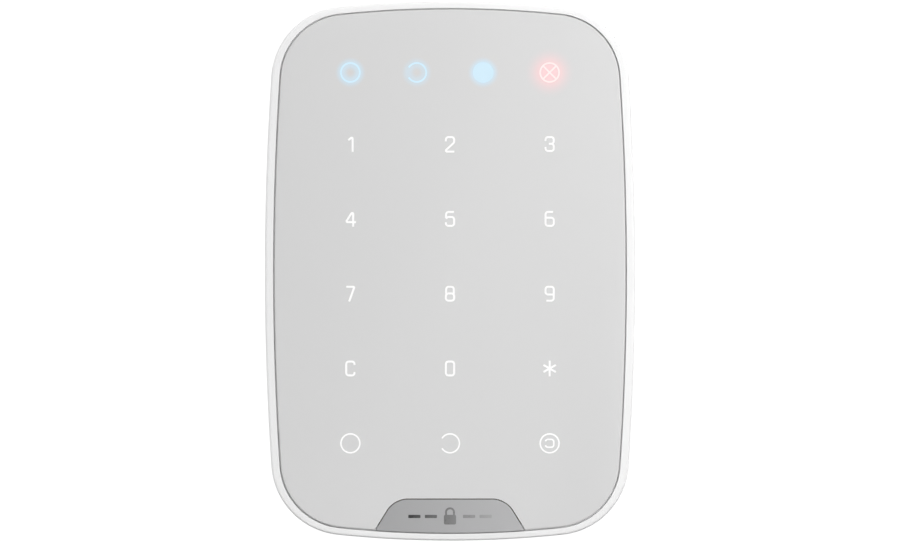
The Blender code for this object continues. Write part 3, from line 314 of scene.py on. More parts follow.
def spin_point(mesh, point, centre, angle, steps):
    """Sweep a point round a centre in the XZ plane and give back the last point."""
    swept = bmesh.ops.spin(mesh, geom=[point], cent=centre, axis=(0, -1, 0), angle=angle, steps=steps)
    return next(item for item in swept["geom_last"] if isinstance(item, bmesh.types.BMVert))


def bowed_face(half_width, half_height, corner_radius, y, grow=0.0):
    """A mesh with one face: a bowed rounded rectangle, spun as three arcs and mirrored twice."""
    case = bpy.context.scene.keypad_case
    side, end = case.side_radius, case.end_radius
    side_centre = Vector((half_width - side, 0.0))
    end_centre = Vector((0.0, half_height - end))
    corner = circles_meet(side_centre, side - corner_radius, end_centre, end - corner_radius)
    to_side = corner - side_centre
    to_end = corner - end_centre
    first_turn = math.atan2(to_side.y, to_side.x)
    second_turn = math.atan2(to_end.y, to_end.x)
    mesh = bmesh.new()
    point = mesh.verts.new((half_width + grow, y, 0.0))
    arcs = ((side_centre, first_turn, SIDE_STEPS),
            (corner, second_turn - first_turn, CORNER_STEPS),
            (end_centre, math.pi / 2 - second_turn, END_STEPS))
    for centre, turn, steps in arcs:
        point = spin_point(mesh, point, (centre.x, y, centre.y), turn, steps)
    for axis in ('X', 'Z'):
        whole = mesh.verts[:] + mesh.edges[:]
        bmesh.ops.mirror(mesh, geom=whole, matrix=Matrix.Identity(4), merge_dist=MERGE, axis=axis)
    bmesh.ops.remove_doubles(mesh, verts=mesh.verts, dist=MERGE)
    bmesh.ops.contextual_create(mesh, geom=mesh.edges[:])
    return mesh


def rounded_face(left, right, bottom, top, radius, y, steps=12):
    """A mesh with one face: a rectangle whose corners are bevelled round."""
    mesh = bmesh.new()
    middle = ((left + right) / 2, y, (bottom + top) / 2)
    place = Matrix.Translation(middle) @ Matrix.Rotation(math.pi / 2, 4, 'X')
    size = Matrix.Diagonal((right - left, top - bottom, 1.0, 1.0))
    bmesh.ops.create_grid(mesh, x_segments=1, y_segments=1, size=0.5, matrix=place @ size)
    bmesh.ops.bevel(mesh, geom=mesh.verts[:], offset=radius, offset_type='OFFSET', segments=steps,
                    profile=0.5, affect='VERTICES', material=-1)
    return mesh


def thicken(mesh, depth):
    """Pull the whole face along Y into a closed solid."""
    swept = bmesh.ops.extrude_face_region(mesh, geom=mesh.faces[:])
    moved = [item for item in swept["geom"] if isinstance(item, bmesh.types.BMVert)]
    bmesh.ops.translate(mesh, verts=moved, vec=(0.0, depth, 0.0))
    bmesh.ops.recalc_face_normals(mesh, faces=mesh.faces)
    return mesh


def round_rim(mesh, y, radius, segments):
    """Round the edge between the side and the flat end at y."""
    rim = [edge for edge in mesh.edges if all(abs(vert.co.y - y) < MERGE for vert in edge.verts)]
    bmesh.ops.bevel(mesh, geom=rim, offset=radius, offset_type='OFFSET', segments=segments, profile=0.5,
                    affect='EDGES', material=-1)


def drum(mesh, centre, back, front, back_radius, front_radius, steps=None):
    """Add a round solid that runs along Y, from y = back to y = front."""
    steps = steps or bpy.context.scene.keypad_stage.circle_steps
    middle = Vector((centre[0], (back + front) / 2, centre[1]))
    matrix = Matrix.Translation(middle) @ Matrix.Rotation(math.pi / 2, 4, 'X')
    bmesh.ops.create_cone(mesh, cap_ends=True, segments=steps, radius1=back_radius, radius2=front_radius,
                          depth=back - front, matrix=matrix)


def brick(mesh, low, high):
    """Add a box between two corners."""
    middle = (Vector(low) + Vector(high)) / 2
    size = Vector(high) - Vector(low)
    matrix = Matrix.Translation(middle) @ Matrix.Diagonal((abs(size.x), abs(size.y), abs(size.z), 1.0))
    bmesh.ops.create_cube(mesh, size=1.0, matrix=matrix)


def combine(mesh, tool, operation):
    """Cut with, join to or keep the overlap with a second solid, and give back the result as a new mesh."""
    holders = []
    for part in (mesh, tool):
        data = bpy.data.meshes.new("working")
        part.to_mesh(data)
        part.free()
        holder = bpy.data.objects.new("working", data)
        bpy.context.scene.collection.objects.link(holder)
        holders.append(holder)
    target, cutter = holders
    modifier = target.modifiers.new("shape", 'BOOLEAN')
    modifier.operation = operation
    modifier.solver = 'EXACT'
    modifier.object = cutter
    result = bpy.data.meshes.new_from_object(target.evaluated_get(bpy.context.evaluated_depsgraph_get()))
    made = bmesh.new()
    made.from_mesh(result)
    for holder in holders:
        data = holder.data
        bpy.data.objects.remove(holder)
        bpy.data.meshes.remove(data)
    bpy.data.meshes.remove(result)
    return made


def add_mesh(mesh, extra):
    """Add a second mesh to the first as it is."""
    data = bpy.data.meshes.new("working")
    extra.to_mesh(data)
    extra.free()
    mesh.from_mesh(data)
    bpy.data.meshes.remove(data)


def add_piece(name, mesh, material, body, replaces=(), soft_edge=0.0):
    """Make the object for a finished mesh and tie it to its body."""
    if not mesh.faces:
        raise RuntimeError(f"{name} has no faces")
    data = bpy.data.meshes.new(name)
    mesh.to_mesh(data)
    mesh.free()
    data.materials.append(material)
    data.shade_smooth()
    data.set_sharp_from_angle(angle=SMOOTH_UP_TO)
    piece = bpy.data.objects.new(name, data)
    bpy.context.scene.collection.objects.link(piece)
    if soft_edge:
        bevel = piece.modifiers.new("soft edge", 'BEVEL')
        bevel.width = soft_edge
        bevel.segments = 2
        bevel.limit_method = 'ANGLE'
        bevel.angle_limit = SOFTEN_FROM
        bevel.use_clamp_overlap = True
    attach(piece, body)
    if replaces:
        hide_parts(*replaces)


# ---------------------------------------------------------------- strokes

class Pen:
    """Draws flat ribbons in the XZ plane by extruding and spinning one short edge."""

    def __init__(self, mesh, width, y):
        self.mesh = mesh
        self.width = width
        self.y = y
        self.place = Vector((0.0, 0.0))
        self.heading = 0.0
        self.edge = None

    def start(self, place, heading):
        """Put the pen down."""
        self.place = Vector(place)
        self.heading = heading
        across = Vector((-math.sin(heading), math.cos(heading))) * self.width / 2
        ends = [self.place + across, self.place - across]
        self.edge = self.mesh.edges.new([self.mesh.verts.new((end.x, self.y, end.y)) for end in ends])

    def go(self, distance):
        """Draw straight on."""
        if distance < MERGE:
            return
        step = Vector((math.cos(self.heading), math.sin(self.heading))) * distance
        pulled = bmesh.ops.extrude_edge_only(self.mesh, edges=[self.edge])
        moved = [item for item in pulled["geom"] if isinstance(item, bmesh.types.BMVert)]
        bmesh.ops.translate(self.mesh, verts=moved, vec=(step.x, 0.0, step.y))
        self.edge = next(item for item in pulled["geom"] if isinstance(item, bmesh.types.BMEdge)
                         and all(vert in moved for vert in item.verts))
        self.place += step

    def turn(self, radius, angle, steps):
        """Draw round an arc: to the left when the angle is positive. A whole turn ends the line."""
        side = math.copysign(1.0, angle)
        normal = Vector((-math.sin(self.heading), math.cos(self.heading))) * side
        centre = self.place + normal * radius
        whole = math.isclose(abs(angle), 2 * math.pi)
        swept = bmesh.ops.spin(self.mesh, geom=[self.edge, *self.edge.verts],
                               cent=(centre.x, self.y, centre.y), axis=(0, -1, 0),
                               angle=angle, steps=steps, use_merge=whole)
        if whole:
            return
        self.edge = next(item for item in swept["geom_last"] if isinstance(item, bmesh.types.BMEdge))
        self.heading += angle
        back = Vector((math.sin(self.heading), -math.cos(self.heading))) * side
        self.place = centre + back * radius


def corner_turn(before, corner, after):
    """The signed turn at a corner of a path."""
    first = corner - before
    second = after - corner
    return math.atan2(first.x * second.y - first.y * second.x, first.dot(second))


def draw_path(mesh, points, width, radius, y, closed=False):
    """Draw one line with round corners. A closed line starts in the middle of its first side."""
    points = [Vector(point) for point in points]
    if closed:
        middle = (points[0] + points[1]) / 2
        points = [middle] + points[1:] + [points[0], middle]
    pen = Pen(mesh, width, y)
    first = points[1] - points[0]
    pen.start(points[0], math.atan2(first.y, first.x))
    used = 0.0
    for index in range(1, len(points)):
        reach = (points[index] - points[index - 1]).length
        if index == len(points) - 1:
            pen.go(reach - used)
            break
        angle = corner_turn(points[index - 1], points[index], points[index + 1])
        onward = (points[index + 1] - points[index]).length
        room = min(reach - used, onward * (1.0 if index == len(points) - 2 else 0.5))
        bend = max(min(radius, 0.98 * room / math.tan(abs(angle) / 2)), width * 0.51)
        tangent = bend * math.tan(abs(angle) / 2)
        pen.go(reach - used - tangent)
        pen.turn(bend, angle, max(3, int(abs(angle) / 0.2)))
        used = tangent


def ribbon_solid(lines, width, radius, front, depth):
    """Closed, very thin solids for a set of (points, closed) lines. Each lies a hair deeper than the last."""
    made = bmesh.new()
    for number, (points, closed) in enumerate(lines):
        line = bmesh.new()
        draw_path(line, points, width, radius, front + number * HAIR, closed)
        bmesh.ops.remove_doubles(line, verts=line.verts, dist=MERGE)
        add_mesh(made, thicken(line, depth))
    return made


def arc_solid(centre, radius, width, front, depth, start=0.0, sweep=360.0):
    """A thin solid arc or full ring, swept from one short edge. Angles are in degrees."""
    mesh = bmesh.new()
    pen = Pen(mesh, width, front)
    angle = math.radians(start)
    place = (centre[0] + radius * math.cos(angle), centre[1] + radius * math.sin(angle))
    pen.start(place, angle + math.pi / 2)
    pen.turn(radius, math.radians(sweep), RING_STEPS)
    return thicken(mesh, depth)


# Lines of each key's sign, in halves of its width and height
SIGNS = {
    "1": [([(-0.50, 0.55), (0.55, 1.08), (0.55, -1.13)], False)],
    "2": [([(-1.0, 0.38), (-1.0, 1.0), (1.0, 1.0), (1.0, 0.22), (-1.0, -0.88), (-1.0, -1.0), (1.05, -1.0)],
           False)],
    "3": [([(-1.0, 0.42), (-1.0, 1.0), (1.0, 1.0), (1.0, 0.04), (-0.2, 0.04)], False),
          ([(-0.1, 0.04), (1.0, 0.04), (1.0, -1.0), (-1.0, -1.0), (-1.0, -0.42)], False)],
    "4": [([(1.35, -0.48), (-1.12, -0.48), (0.68, 1.2), (0.68, -1.13)], False)],
    "5": [([(0.95, 1.0), (-0.95, 1.0), (-0.95, 0.08)], False),
          ([(-0.95, 0.02), (-0.6, 0.27), (1.0, 0.27), (1.0, -1.0), (-1.0, -1.0), (-1.0, -0.48)], False)],
    "6": [([(0.80, 1.0), (-1.0, 1.0), (-1.0, -1.0), (1.0, -1.0), (1.0, 0.17), (-0.85, 0.17)], False)],
    "7": [([(-1.0, 1.0), (1.0, 1.0), (-0.30, -1.12)], False)],
    "8": [([(-1.0, 0.03), (-1.0, -1.0), (1.0, -1.0), (1.0, 0.03)], True),
          ([(-0.93, -0.02), (-0.93, 1.0), (0.93, 1.0), (0.93, -0.02)], False)],
    "9": [([(-0.80, -1.0), (1.0, -1.0), (1.0, 1.0), (-1.0, 1.0), (-1.0, -0.12), (0.85, -0.12)], False)],
    "C": [([(1.0, 0.50), (1.0, 1.0), (-1.0, 1.0), (-1.0, -1.0), (1.0, -1.0), (1.0, -0.50)], False)],
    "0": [([(-1.0, 1.0), (-1.0, -1.0), (1.0, -1.0), (1.0, 1.0)], True)],
    "*": [([(0.0, 1.13), (0.0, -1.13)], False), ([(-1.5, 0.51), (1.5, -0.51)], False),
          ([(-1.5, -0.51), (1.5, 0.51)], False)],
}
SHARP_SIGNS = "147*"
ROWS = ("123", "456", "789", "C0*")


# ---------------------------------------------------------------- materials

class Nodes:
    """A material's node tree with short ways to add and join nodes."""

    def __init__(self, name):
        self.material = bpy.data.materials.new(name)
        self.material.use_nodes = True
        self.tree = self.material.node_tree
        self.shader = self.tree.nodes["Principled BSDF"]
        self.place = self.add("ShaderNodeTexCoord").outputs["Object"]

    def add(self, kind, **settings):
        """Add a node and set its properties."""
        node = self.tree.nodes.new(kind)
        for key, value in settings.items():
            setattr(node, key, value)
        return node

    def join(self, output, socket):
        """Link two sockets."""
        self.tree.links.new(output, socket)

    def fill(self, socket, value):
        """Join a colour socket to another socket, or set it to three numbers."""
        if isinstance(value, bpy.types.NodeSocket):
            self.join(value, socket)
        else:
            socket.default_value = (*value, 1.0)

    def set(self, name, value):
        """Set a number on the shader."""
        self.shader.inputs[name].default_value = value

    def noise(self, scale, detail=3.0, roughness=0.5):
        """Noise on the object's own coordinates."""
        node = self.add("ShaderNodeTexNoise")
        node.inputs["Scale"].default_value = scale
        node.inputs["Detail"].default_value = detail
        node.inputs["Roughness"].default_value = roughness
        self.join(self.place, node.inputs["Vector"])
        return node.outputs["Fac"]

    def along(self, axis):
        """The place on the object along X, Y or Z."""
        split = self.add("ShaderNodeSeparateXYZ")
        self.join(self.place, split.inputs["Vector"])
        return split.outputs[axis]

    def spread(self, value, low, high, source=(0.3, 0.7), curve='LINEAR'):
        """Map a value to a range."""
        node = self.add("ShaderNodeMapRange", interpolation_type=curve)
        node.inputs["From Min"].default_value = source[0]
        node.inputs["From Max"].default_value = source[1]
        node.inputs["To Min"].default_value = low
        node.inputs["To Max"].default_value = high
        self.join(value, node.inputs["Value"])
        return node.outputs["Result"]

    def math(self, operation, first, second=None):
        """A math node; each operand is a socket or a number."""
        node = self.add("ShaderNodeMath", operation=operation)
        for socket, operand in zip(node.inputs, (first, second)):
            if operand is None:
                continue
            if isinstance(operand, (int, float)):
                socket.default_value = operand
            else:
                self.join(operand, socket)
        return node.outputs["Value"]

    def mix(self, share, first, second):
        """Mix two colours, each a socket or three numbers, by a share that is a socket."""
        node = self.add("ShaderNodeMix", data_type='RGBA')
        self.join(share, node.inputs["Factor"])
        self.fill(node.inputs[6], first)
        self.fill(node.inputs[7], second)
        return node.outputs[2]

    def bump(self, height, strength, distance):
        """Bump on the shader's normal."""
        node = self.add("ShaderNodeBump")
        node.inputs["Strength"].default_value = strength
        node.inputs["Distance"].default_value = distance
        self.join(height, node.inputs["Height"])
        self.join(node.outputs["Normal"], self.shader.inputs["Normal"])

    def roughness(self, low, high, scale, detail=3.0):
        """Roughness that varies between two values."""
        self.join(self.spread(self.noise(scale, detail), low, high), self.shader.inputs["Roughness"])

    def colour(self, value):
        """Set or join the base colour."""
        self.fill(self.shader.inputs["Base Color"], value)

    def emit(self, value, strength):
        """Set or join the light that the surface gives off."""
        self.fill(self.shader.inputs["Emission Color"], value)
        self.set("Emission Strength", strength)


def shade(tint, share):
    """A colour made darker or lighter."""
    return tuple(min(1.0, channel * share) for channel in tint)


def moulded_plastic(name, tint, roughness, grain=0.35, variation=0.015):
    """Satin moulded plastic: a fine spark-eroded grain and a faint drift in tone."""
    nodes = Nodes(name)
    drift = nodes.noise(scale=38.0, detail=2.0)
    nodes.colour(nodes.mix(drift, shade(tint, 1.0 - variation), shade(tint, 1.0 + variation)))
    nodes.roughness(roughness - 0.04, roughness + 0.04, scale=900.0, detail=2.0)
    nodes.bump(nodes.noise(scale=5200.0, roughness=0.6), grain, 0.012 * MM)
    nodes.set("Specular IOR Level", 0.4)
    return nodes.material


def lit_material(name, tint):
    """A legend lit from behind, a little uneven where the light behind it spreads."""
    nodes = Nodes(name)
    tone = nodes.mix(nodes.noise(scale=420.0, detail=1.0), shade(tint, 0.96), tint)
    nodes.colour((0.02, 0.02, 0.02))
    nodes.emit(tone, bpy.context.scene.keypad_legend.glow)
    nodes.set("Roughness", 0.4)
    return nodes.material


def painted_glow_ring(nodes, centre_x, centre_z, radius, reach):
    """One on a circle round a point of the panel, fading to nothing at reach on both sides of it: the mask of
    a painted glow.
    """
    across = nodes.math('SUBTRACT', nodes.along("X"), centre_x)
    up = nodes.math('SUBTRACT', nodes.along("Z"), centre_z)
    squared = nodes.math('ADD', nodes.math('MULTIPLY', across, across), nodes.math('MULTIPLY', up, up))
    off_circle = nodes.math('ABSOLUTE', nodes.math('SUBTRACT', nodes.math('SQRT', squared), radius))
    return nodes.spread(off_circle, 1.0, 0.0, source=(0.0, reach), curve='SMOOTHERSTEP')


def indicator_places():
    """The middles of the four indicators."""
    legend = bpy.context.scene.keypad_legend
    return [((index / 3 - 0.5) * legend.indicator_span, legend.indicator_height) for index in range(4)]


def panel_material():
    """Grey satin sheet with the indicators' light painted in it: a tinted colour and a painted glow round
    each indicator.
    """
    finish = bpy.context.scene.keypad_finish
    tint = tuple(finish.panel)
    nodes = Nodes("panel_sheet")
    tone = nodes.mix(nodes.noise(scale=22.0, detail=2.0), shade(tint, 0.992), shade(tint, 1.008))
    ring = bpy.context.scene.keypad_legend.icon_radius
    blue, red = tuple(finish.blue), tuple(finish.red)
    # The lamp's colour, the circle it glows on, how far the glow reaches and how strong it is
    lamps = ((blue, 0.9 * ring, 2.3 * MM, 0.40),
             (blue, 0.9 * ring, 2.3 * MM, 0.28),
             (blue, 0.8 * ring, 2.7 * MM, 0.50),
             (red, 0.0, 7.8 * MM, 0.62))
    light = (0.0, 0.0, 0.0)
    # Painted glow: round each indicator the sheet's colour is tinted towards the lamp and the sheet gives off
    # light.
    for (x, z), (lamp, radius, reach, share) in zip(indicator_places(), lamps):
        strength = nodes.math('MULTIPLY', painted_glow_ring(nodes, x, z, radius, reach), share)
        tone = nodes.mix(strength, tone, shade(lamp, 0.8))
        light = nodes.mix(strength, light, shade(lamp, 0.3))
    nodes.colour(tone)
    nodes.emit(light, 1.0)
    nodes.roughness(0.30, 0.38, scale=300.0)
    nodes.bump(nodes.noise(scale=3800.0, detail=2.0), 0.12, 0.008 * MM)
    nodes.set("Specular IOR Level", 0.35)
    return nodes.material


def tilted_tone(nodes, left, right, reach):
    """A tone that changes from left to right across the nameplate."""
    return nodes.mix(nodes.spread(nodes.along("X"), 0.0, 1.0, source=(-reach, reach)), left, right)


def nameplate_material():
    """Satin grey with painted light: a little lighter to the right, where the light falls."""
    tint = tuple(bpy.context.scene.keypad_finish.nameplate)
    nodes = Nodes("nameplate_satin")
    # Painted light: the colour grows lighter to the right, as if lit from that side.
    nodes.colour(tilted_tone(nodes, shade(tint, 0.93), shade(tint, 1.17), 18.0 * MM))
    nodes.roughness(0.30, 0.38, scale=900.0, detail=2.0)
    nodes.bump(nodes.noise(scale=5200.0, roughness=0.6), 0.15, 0.012 * MM)
    return nodes.material


def sign_material():
    """Print that goes from dark to light grey."""
    nodes = Nodes("emblem_print")
    nodes.colour(tilted_tone(nodes, (0.012, 0.012, 0.012), (0.34, 0.34, 0.34), 11.0 * MM))
    nodes.roughness(0.26, 0.34, scale=900.0, detail=2.0)
    return nodes.material


def metal_material(name, tint, roughness):
    """Rolled or plated metal with fine uneven gloss."""
    nodes = Nodes(name)
    nodes.colour(nodes.mix(nodes.noise(scale=90.0), shade(tint, 0.9), tint))
    nodes.roughness(roughness - 0.06, roughness + 0.08, scale=700.0)
    nodes.set("Metallic", 1.0)
    nodes.bump(nodes.noise(scale=2800.0), 0.2, 0.01 * MM)
    return nodes.material


def board_material():
    """Green solder mask over rows of copper tracks."""
    nodes = Nodes("solder_mask")
    tracks = nodes.add("ShaderNodeTexBrick")
    tracks.inputs["Scale"].default_value = 160.0
    tracks.inputs["Mortar Size"].default_value = 0.035
    nodes.fill(tracks.inputs["Color1"], (0.020, 0.150, 0.070))
    nodes.fill(tracks.inputs["Color2"], (0.024, 0.165, 0.080))
    nodes.fill(tracks.inputs["Mortar"], (0.070, 0.290, 0.130))
    turn = nodes.add("ShaderNodeMapping")
    turn.inputs["Rotation"].default_value = (math.pi / 2, 0.0, 0.0)
    nodes.join(nodes.place, turn.inputs["Vector"])
    nodes.join(turn.outputs["Vector"], tracks.inputs["Vector"])
    nodes.colour(tracks.outputs["Color"])
    nodes.set("Roughness", 0.35)
    nodes.bump(tracks.outputs["Fac"], 0.3, 0.02 * MM)
    return nodes.material


def cell_material():
    """A printed metal jacket: dark, with a copper band at one end of each cell."""
    nodes = Nodes("cell_jacket_print")
    band = nodes.spread(nodes.along("Z"), 0.0, 1.0, source=(12.0 * MM, 12.2 * MM))
    nodes.colour(nodes.mix(band, (0.03, 0.035, 0.045), (0.55, 0.28, 0.14)))
    nodes.set("Metallic", 0.7)
    nodes.roughness(0.24, 0.34, scale=500.0)
    return nodes.material


# ---------------------------------------------------------------- pieces

def middle_of(low, high):
    """The middle of a box, across and up."""
    return (low.x + high.x) / 2, (low.z + high.z) / 2


def outer_face(y, grow=0.0):
    """The case's outline."""
    half_width = (CASE_HIGH.x - CASE_LOW.x) / 2
    half_height = (CASE_HIGH.z - CASE_LOW.z) / 2
    return bowed_face(half_width, half_height, bpy.context.scene.keypad_case.corner_radius, y, grow)


def panel_face(y, room, grow=0.0):
    """The panel's outline with room round it."""
    radius = bpy.context.scene.keypad_case.panel_corner_radius
    return bowed_face(PANEL_HIGH.x + room, PANEL_HIGH.z + room, radius, y, grow)


def build_housing():
    """The white shell with its rim, ledge and rounded edges."""
    case = bpy.context.scene.keypad_case
    back, front = CASE_HIGH.y, CASE_LOW.y
    shell = thicken(outer_face(back), front - back)
    round_rim(shell, back, case.back_fillet, segments=6)
    round_rim(shell, front, case.front_fillet, segments=4)
    past = 2 * CUT_PAST
    ledge_front = PANEL_HIGH.y + PANEL_BACK_GAP
    opening = thicken(panel_face(ledge_front, case.seam), front - past - ledge_front)
    shell = combine(shell, opening, 'DIFFERENCE')
    window = thicken(panel_face(back + past, case.seam / 2, -case.ledge), front - past - back)
    shell = combine(shell, window, 'DIFFERENCE')
    cavity = thicken(outer_face(back + past, -case.wall), ledge_front + LEDGE_THICKNESS - back - past)
    shell = combine(shell, cavity, 'DIFFERENCE')
    white = moulded_plastic("case_white", tuple(bpy.context.scene.keypad_finish.case), 0.42)
    add_piece("case_shell", shell, white, "keypad", ["front_housing"])


def nameplate_face(y, grow=0.0):
    """A trapezoid with round upper corners that runs out past the panel's lower edge."""
    case = bpy.context.scene.keypad_case
    top = PLATE_HIGH.z + grow + case.seam
    bottom = CASE_LOW.z - CUT_PAST
    side_shift = grow * (1 / math.sin(NAMEPLATE_SLOPE) - 1 / math.tan(NAMEPLATE_SLOPE))
    corner_x = case.nameplate_width / 2 + side_shift
    foot_x = corner_x + (top - bottom) / math.tan(NAMEPLATE_SLOPE)
    mesh = bmesh.new()
    corners = [(-foot_x, bottom), (foot_x, bottom), (corner_x, top), (-corner_x, top)]
    verts = [mesh.verts.new((x, y, z)) for x, z in corners]
    mesh.faces.new(verts)
    radius = case.nameplate_radius + grow
    bmesh.ops.bevel(mesh, geom=verts[2:], offset=radius * math.tan(NAMEPLATE_SLOPE / 2),
                    offset_type='OFFSET', segments=14, profile=0.5, affect='VERTICES', material=-1)
    return mesh


def build_panel():
    """The touch panel, with the notch for the nameplate."""
    half_seam = bpy.context.scene.keypad_case.seam / 2
    back, front = PANEL_HIGH.y, PANEL_LOW.y
    sheet = thicken(panel_face(back, half_seam, -half_seam), front - back)
    round_rim(sheet, front, PANEL_ROUNDING, segments=5)
    notch = thicken(nameplate_face(back + CUT_PAST), front - back - 2 * CUT_PAST)
    sheet = combine(sheet, notch, 'DIFFERENCE')
    add_piece("panel_sheet", sheet, panel_material(), "keypad", ["touch_panel"])


def padlock_sign(front, depth):
    """A small closed padlock between two pairs of short bars."""
    middle = (PLATE_LOW.z + PLATE_HIGH.z) / 2
    made = bmesh.new()
    body = rounded_face(-LOCK_HALF_WIDTH, LOCK_HALF_WIDTH, middle + LOCK_BOTTOM, middle + LOCK_TOP,
                        LOCK_CORNER, front, steps=5)
    add_mesh(made, thicken(body, depth))
    foot, top = middle + SHACKLE_FOOT, middle + SHACKLE_TOP
    shackle = [(-SHACKLE_HALF_WIDTH, foot), (-SHACKLE_HALF_WIDTH, top),
               (SHACKLE_HALF_WIDTH, top), (SHACKLE_HALF_WIDTH, foot)]
    add_mesh(made, ribbon_solid([(shackle, False)], SHACKLE_STROKE, SHACKLE_BEND, front + 2 * HAIR, depth))
    for side in (-1, 1):
        for ends in BAR_ENDS:
            left, right = sorted(side * end for end in ends)
            bar = rounded_face(left, right, middle + BAR_BOTTOM, middle + BAR_TOP, BAR_CORNER, front, steps=4)
            add_mesh(made, thicken(bar, depth))
    bmesh.ops.recalc_face_normals(made, faces=made.faces)
    return made


def build_nameplate():
    """The grey nameplate with a plain padlock sign."""
    case = bpy.context.scene.keypad_case
    back, front = PLATE_HIGH.y, PLATE_LOW.y
    plate = thicken(nameplate_face(back, -NAMEPLATE_GAP), front - back)
    outline = thicken(panel_face(back + CUT_PAST, case.seam / 2, -case.seam / 2), front - back - 2 * CUT_PAST)
    plate = combine(plate, outline, 'INTERSECT')
    add_piece("nameplate_plate", plate, nameplate_material(), "keypad", ["nameplate"],
              soft_edge=case.soft_edge)
    sign = padlock_sign(front - SIGN_PROUD, SIGN_DEPTH)
    add_piece("nameplate_sign", sign, sign_material(), "keypad")


def build_legends():
    """The lit digits, the letter and the star."""
    legend = bpy.context.scene.keypad_legend
    half_width, half_height = legend.digit_width / 2, legend.digit_height / 2
    front = PANEL_LOW.y - LEGEND_PROUD
    digits = bmesh.new()
    for row, signs in enumerate(ROWS):
        middle_z = legend.first_row - row * legend.row_pitch
        for column, sign in enumerate(signs):
            middle_x = (column - 1) * legend.column_pitch
            radius = SHARP_BEND if sign in SHARP_SIGNS else legend.corner
            lines = [([(middle_x + x * half_width, middle_z + z * half_height) for x, z in points], closed)
                     for points, closed in SIGNS[sign]]
            add_mesh(digits, ribbon_solid(lines, legend.stroke, radius, front, LEGEND_DEPTH))
    white = lit_material("legend_white", (0.97, 0.97, 0.97))
    add_piece("key_digits", digits, white, "keypad")
    build_function_signs(front, white)


def build_function_signs(front, white):
    """The lit ring signs in the row below the digits."""
    legend = bpy.context.scene.keypad_legend
    row_z = legend.first_row - len(ROWS) * legend.row_pitch
    left, middle, right = ((side * legend.column_pitch, row_z) for side in (-1, 0, 1))
    radius = legend.icon_radius
    stroke = legend.stroke * ICON_STROKE_SHARE
    icons = arc_solid(left, radius, stroke, front, LEGEND_DEPTH)
    add_mesh(icons, arc_solid(middle, radius, stroke, front, LEGEND_DEPTH, OPEN_RING_START, OPEN_RING_SWEEP))
    add_mesh(icons, arc_solid(right, radius, stroke, front, LEGEND_DEPTH))
    hook = [(right[0] + x * MM, right[1] + z * MM) for x, z in HOOK_SIGN]
    add_mesh(icons, ribbon_solid([(hook, False)], stroke, HOOK_SIGN_BEND, front, LEGEND_DEPTH))
    add_piece("function_signs", icons, white, "keypad")


def build_indicators():
    """The four lit state indicators above the digits."""
    legend = bpy.context.scene.keypad_legend
    front = PANEL_LOW.y - LEGEND_PROUD
    stroke = legend.stroke * INDICATOR_STROKE_SHARE
    ring_at, open_at, disc_at, cross_at = indicator_places()
    radius = legend.icon_radius
    disc_radius = radius - stroke / 2
    rings = arc_solid(ring_at, radius, stroke, front, LEGEND_DEPTH)
    add_mesh(rings, arc_solid(open_at, radius, stroke, front, LEGEND_DEPTH, OPEN_RING_START, OPEN_RING_SWEEP))
    add_mesh(rings, arc_solid(disc_at, radius, stroke, front, LEGEND_DEPTH))
    drum(rings, disc_at, front + LEGEND_DEPTH, front, disc_radius, disc_radius)
    bmesh.ops.recalc_face_normals(rings, faces=rings.faces)
    blue = lit_material("indicator_blue_light", (0.63, 0.83, 0.95))
    add_piece("indicator_signs_blue", rings, blue, "keypad")
    thin = stroke * INDICATOR_STROKE_SHARE
    crossed = arc_solid(cross_at, radius, thin, front, LEGEND_DEPTH)
    reach = radius * math.sqrt(0.5)
    x, z = cross_at
    lines = [([(x - reach, z - side * reach), (x + reach, z + side * reach)], False) for side in (-1, 1)]
    add_mesh(crossed, ribbon_solid(lines, thin, stroke, front, LEGEND_DEPTH))
    pale_red = lit_material("indicator_red_light", (1.0, 0.84, 0.83))
    add_piece("indicator_sign_red", crossed, pale_red, "keypad")


def hook_places():
    """The middles and lower ends of the bracket's hooks."""
    across = BRACKET_HIGH.x - HOOK_SIDE_INSET
    heights = (BRACKET_HIGH.z - HOOK_TOP_INSET, BRACKET_LOW.z + HOOK_BOTTOM_INSET)
    return [(side * across, height) for height in heights for side in (-1, 1)]


def drums(places, back, front, radius, steps=None):
    """Equal round solids at a set of places."""
    mesh = bmesh.new()
    for place in places:
        drum(mesh, place, back, front, radius, radius, steps)
    return mesh


def recess_pocket(side, bottom, top, back, floor_back):
    """The solid that cuts the recess, with a ramp at its lower end."""
    case = bpy.context.scene.keypad_case
    mouth = back + RECESS_MOUTH
    pocket = thicken(rounded_face(-side, side, bottom, top, case.recess_radius, floor_back, steps=16),
                     mouth - floor_back)
    drop = case.ramp * (mouth - floor_back) / (back - floor_back)
    lower = [vert for vert in pocket.verts if vert.co.y > mouth - MERGE and vert.co.z < 0.0]
    bmesh.ops.translate(pocket, verts=lower, vec=(0.0, 0.0, -drop))
    return pocket


def recess_openings(recess_bottom, near_y, far_y):
    """The openings in the recess floor: for the cells, the power switch, the hooks and the plunger."""
    openings = bmesh.new()
    brick(openings, (BAYS_LOW.x + BAY_FRAME_WALL, far_y, BAYS_LOW.z + BAY_FRAME_WALL),
          (BAYS_HIGH.x - BAY_FRAME_WALL, near_y, BAYS_HIGH.z - BAY_FRAME_WALL))
    brick(openings, (-SWITCH_OPENING_HALF_WIDTH, far_y, recess_bottom),
          (SWITCH_OPENING_HALF_WIDTH, near_y, recess_bottom + SWITCH_OPENING_HEIGHT))
    hook_room = HOOK_HALF_WIDTH + RECESS_FIT
    for x, z in hook_places():
        brick(openings, (x - hook_room, far_y, z - SLIDE_ROOM - RECESS_FIT),
              (x + hook_room, near_y, z + HOOK_HEIGHT + RECESS_FIT))
    drum(openings, middle_of(PLUNGER_LOW, PLUNGER_HIGH), near_y, far_y, PLUNGER_HOLE_RADIUS,
         PLUNGER_HOLE_RADIUS, 32)
    return openings


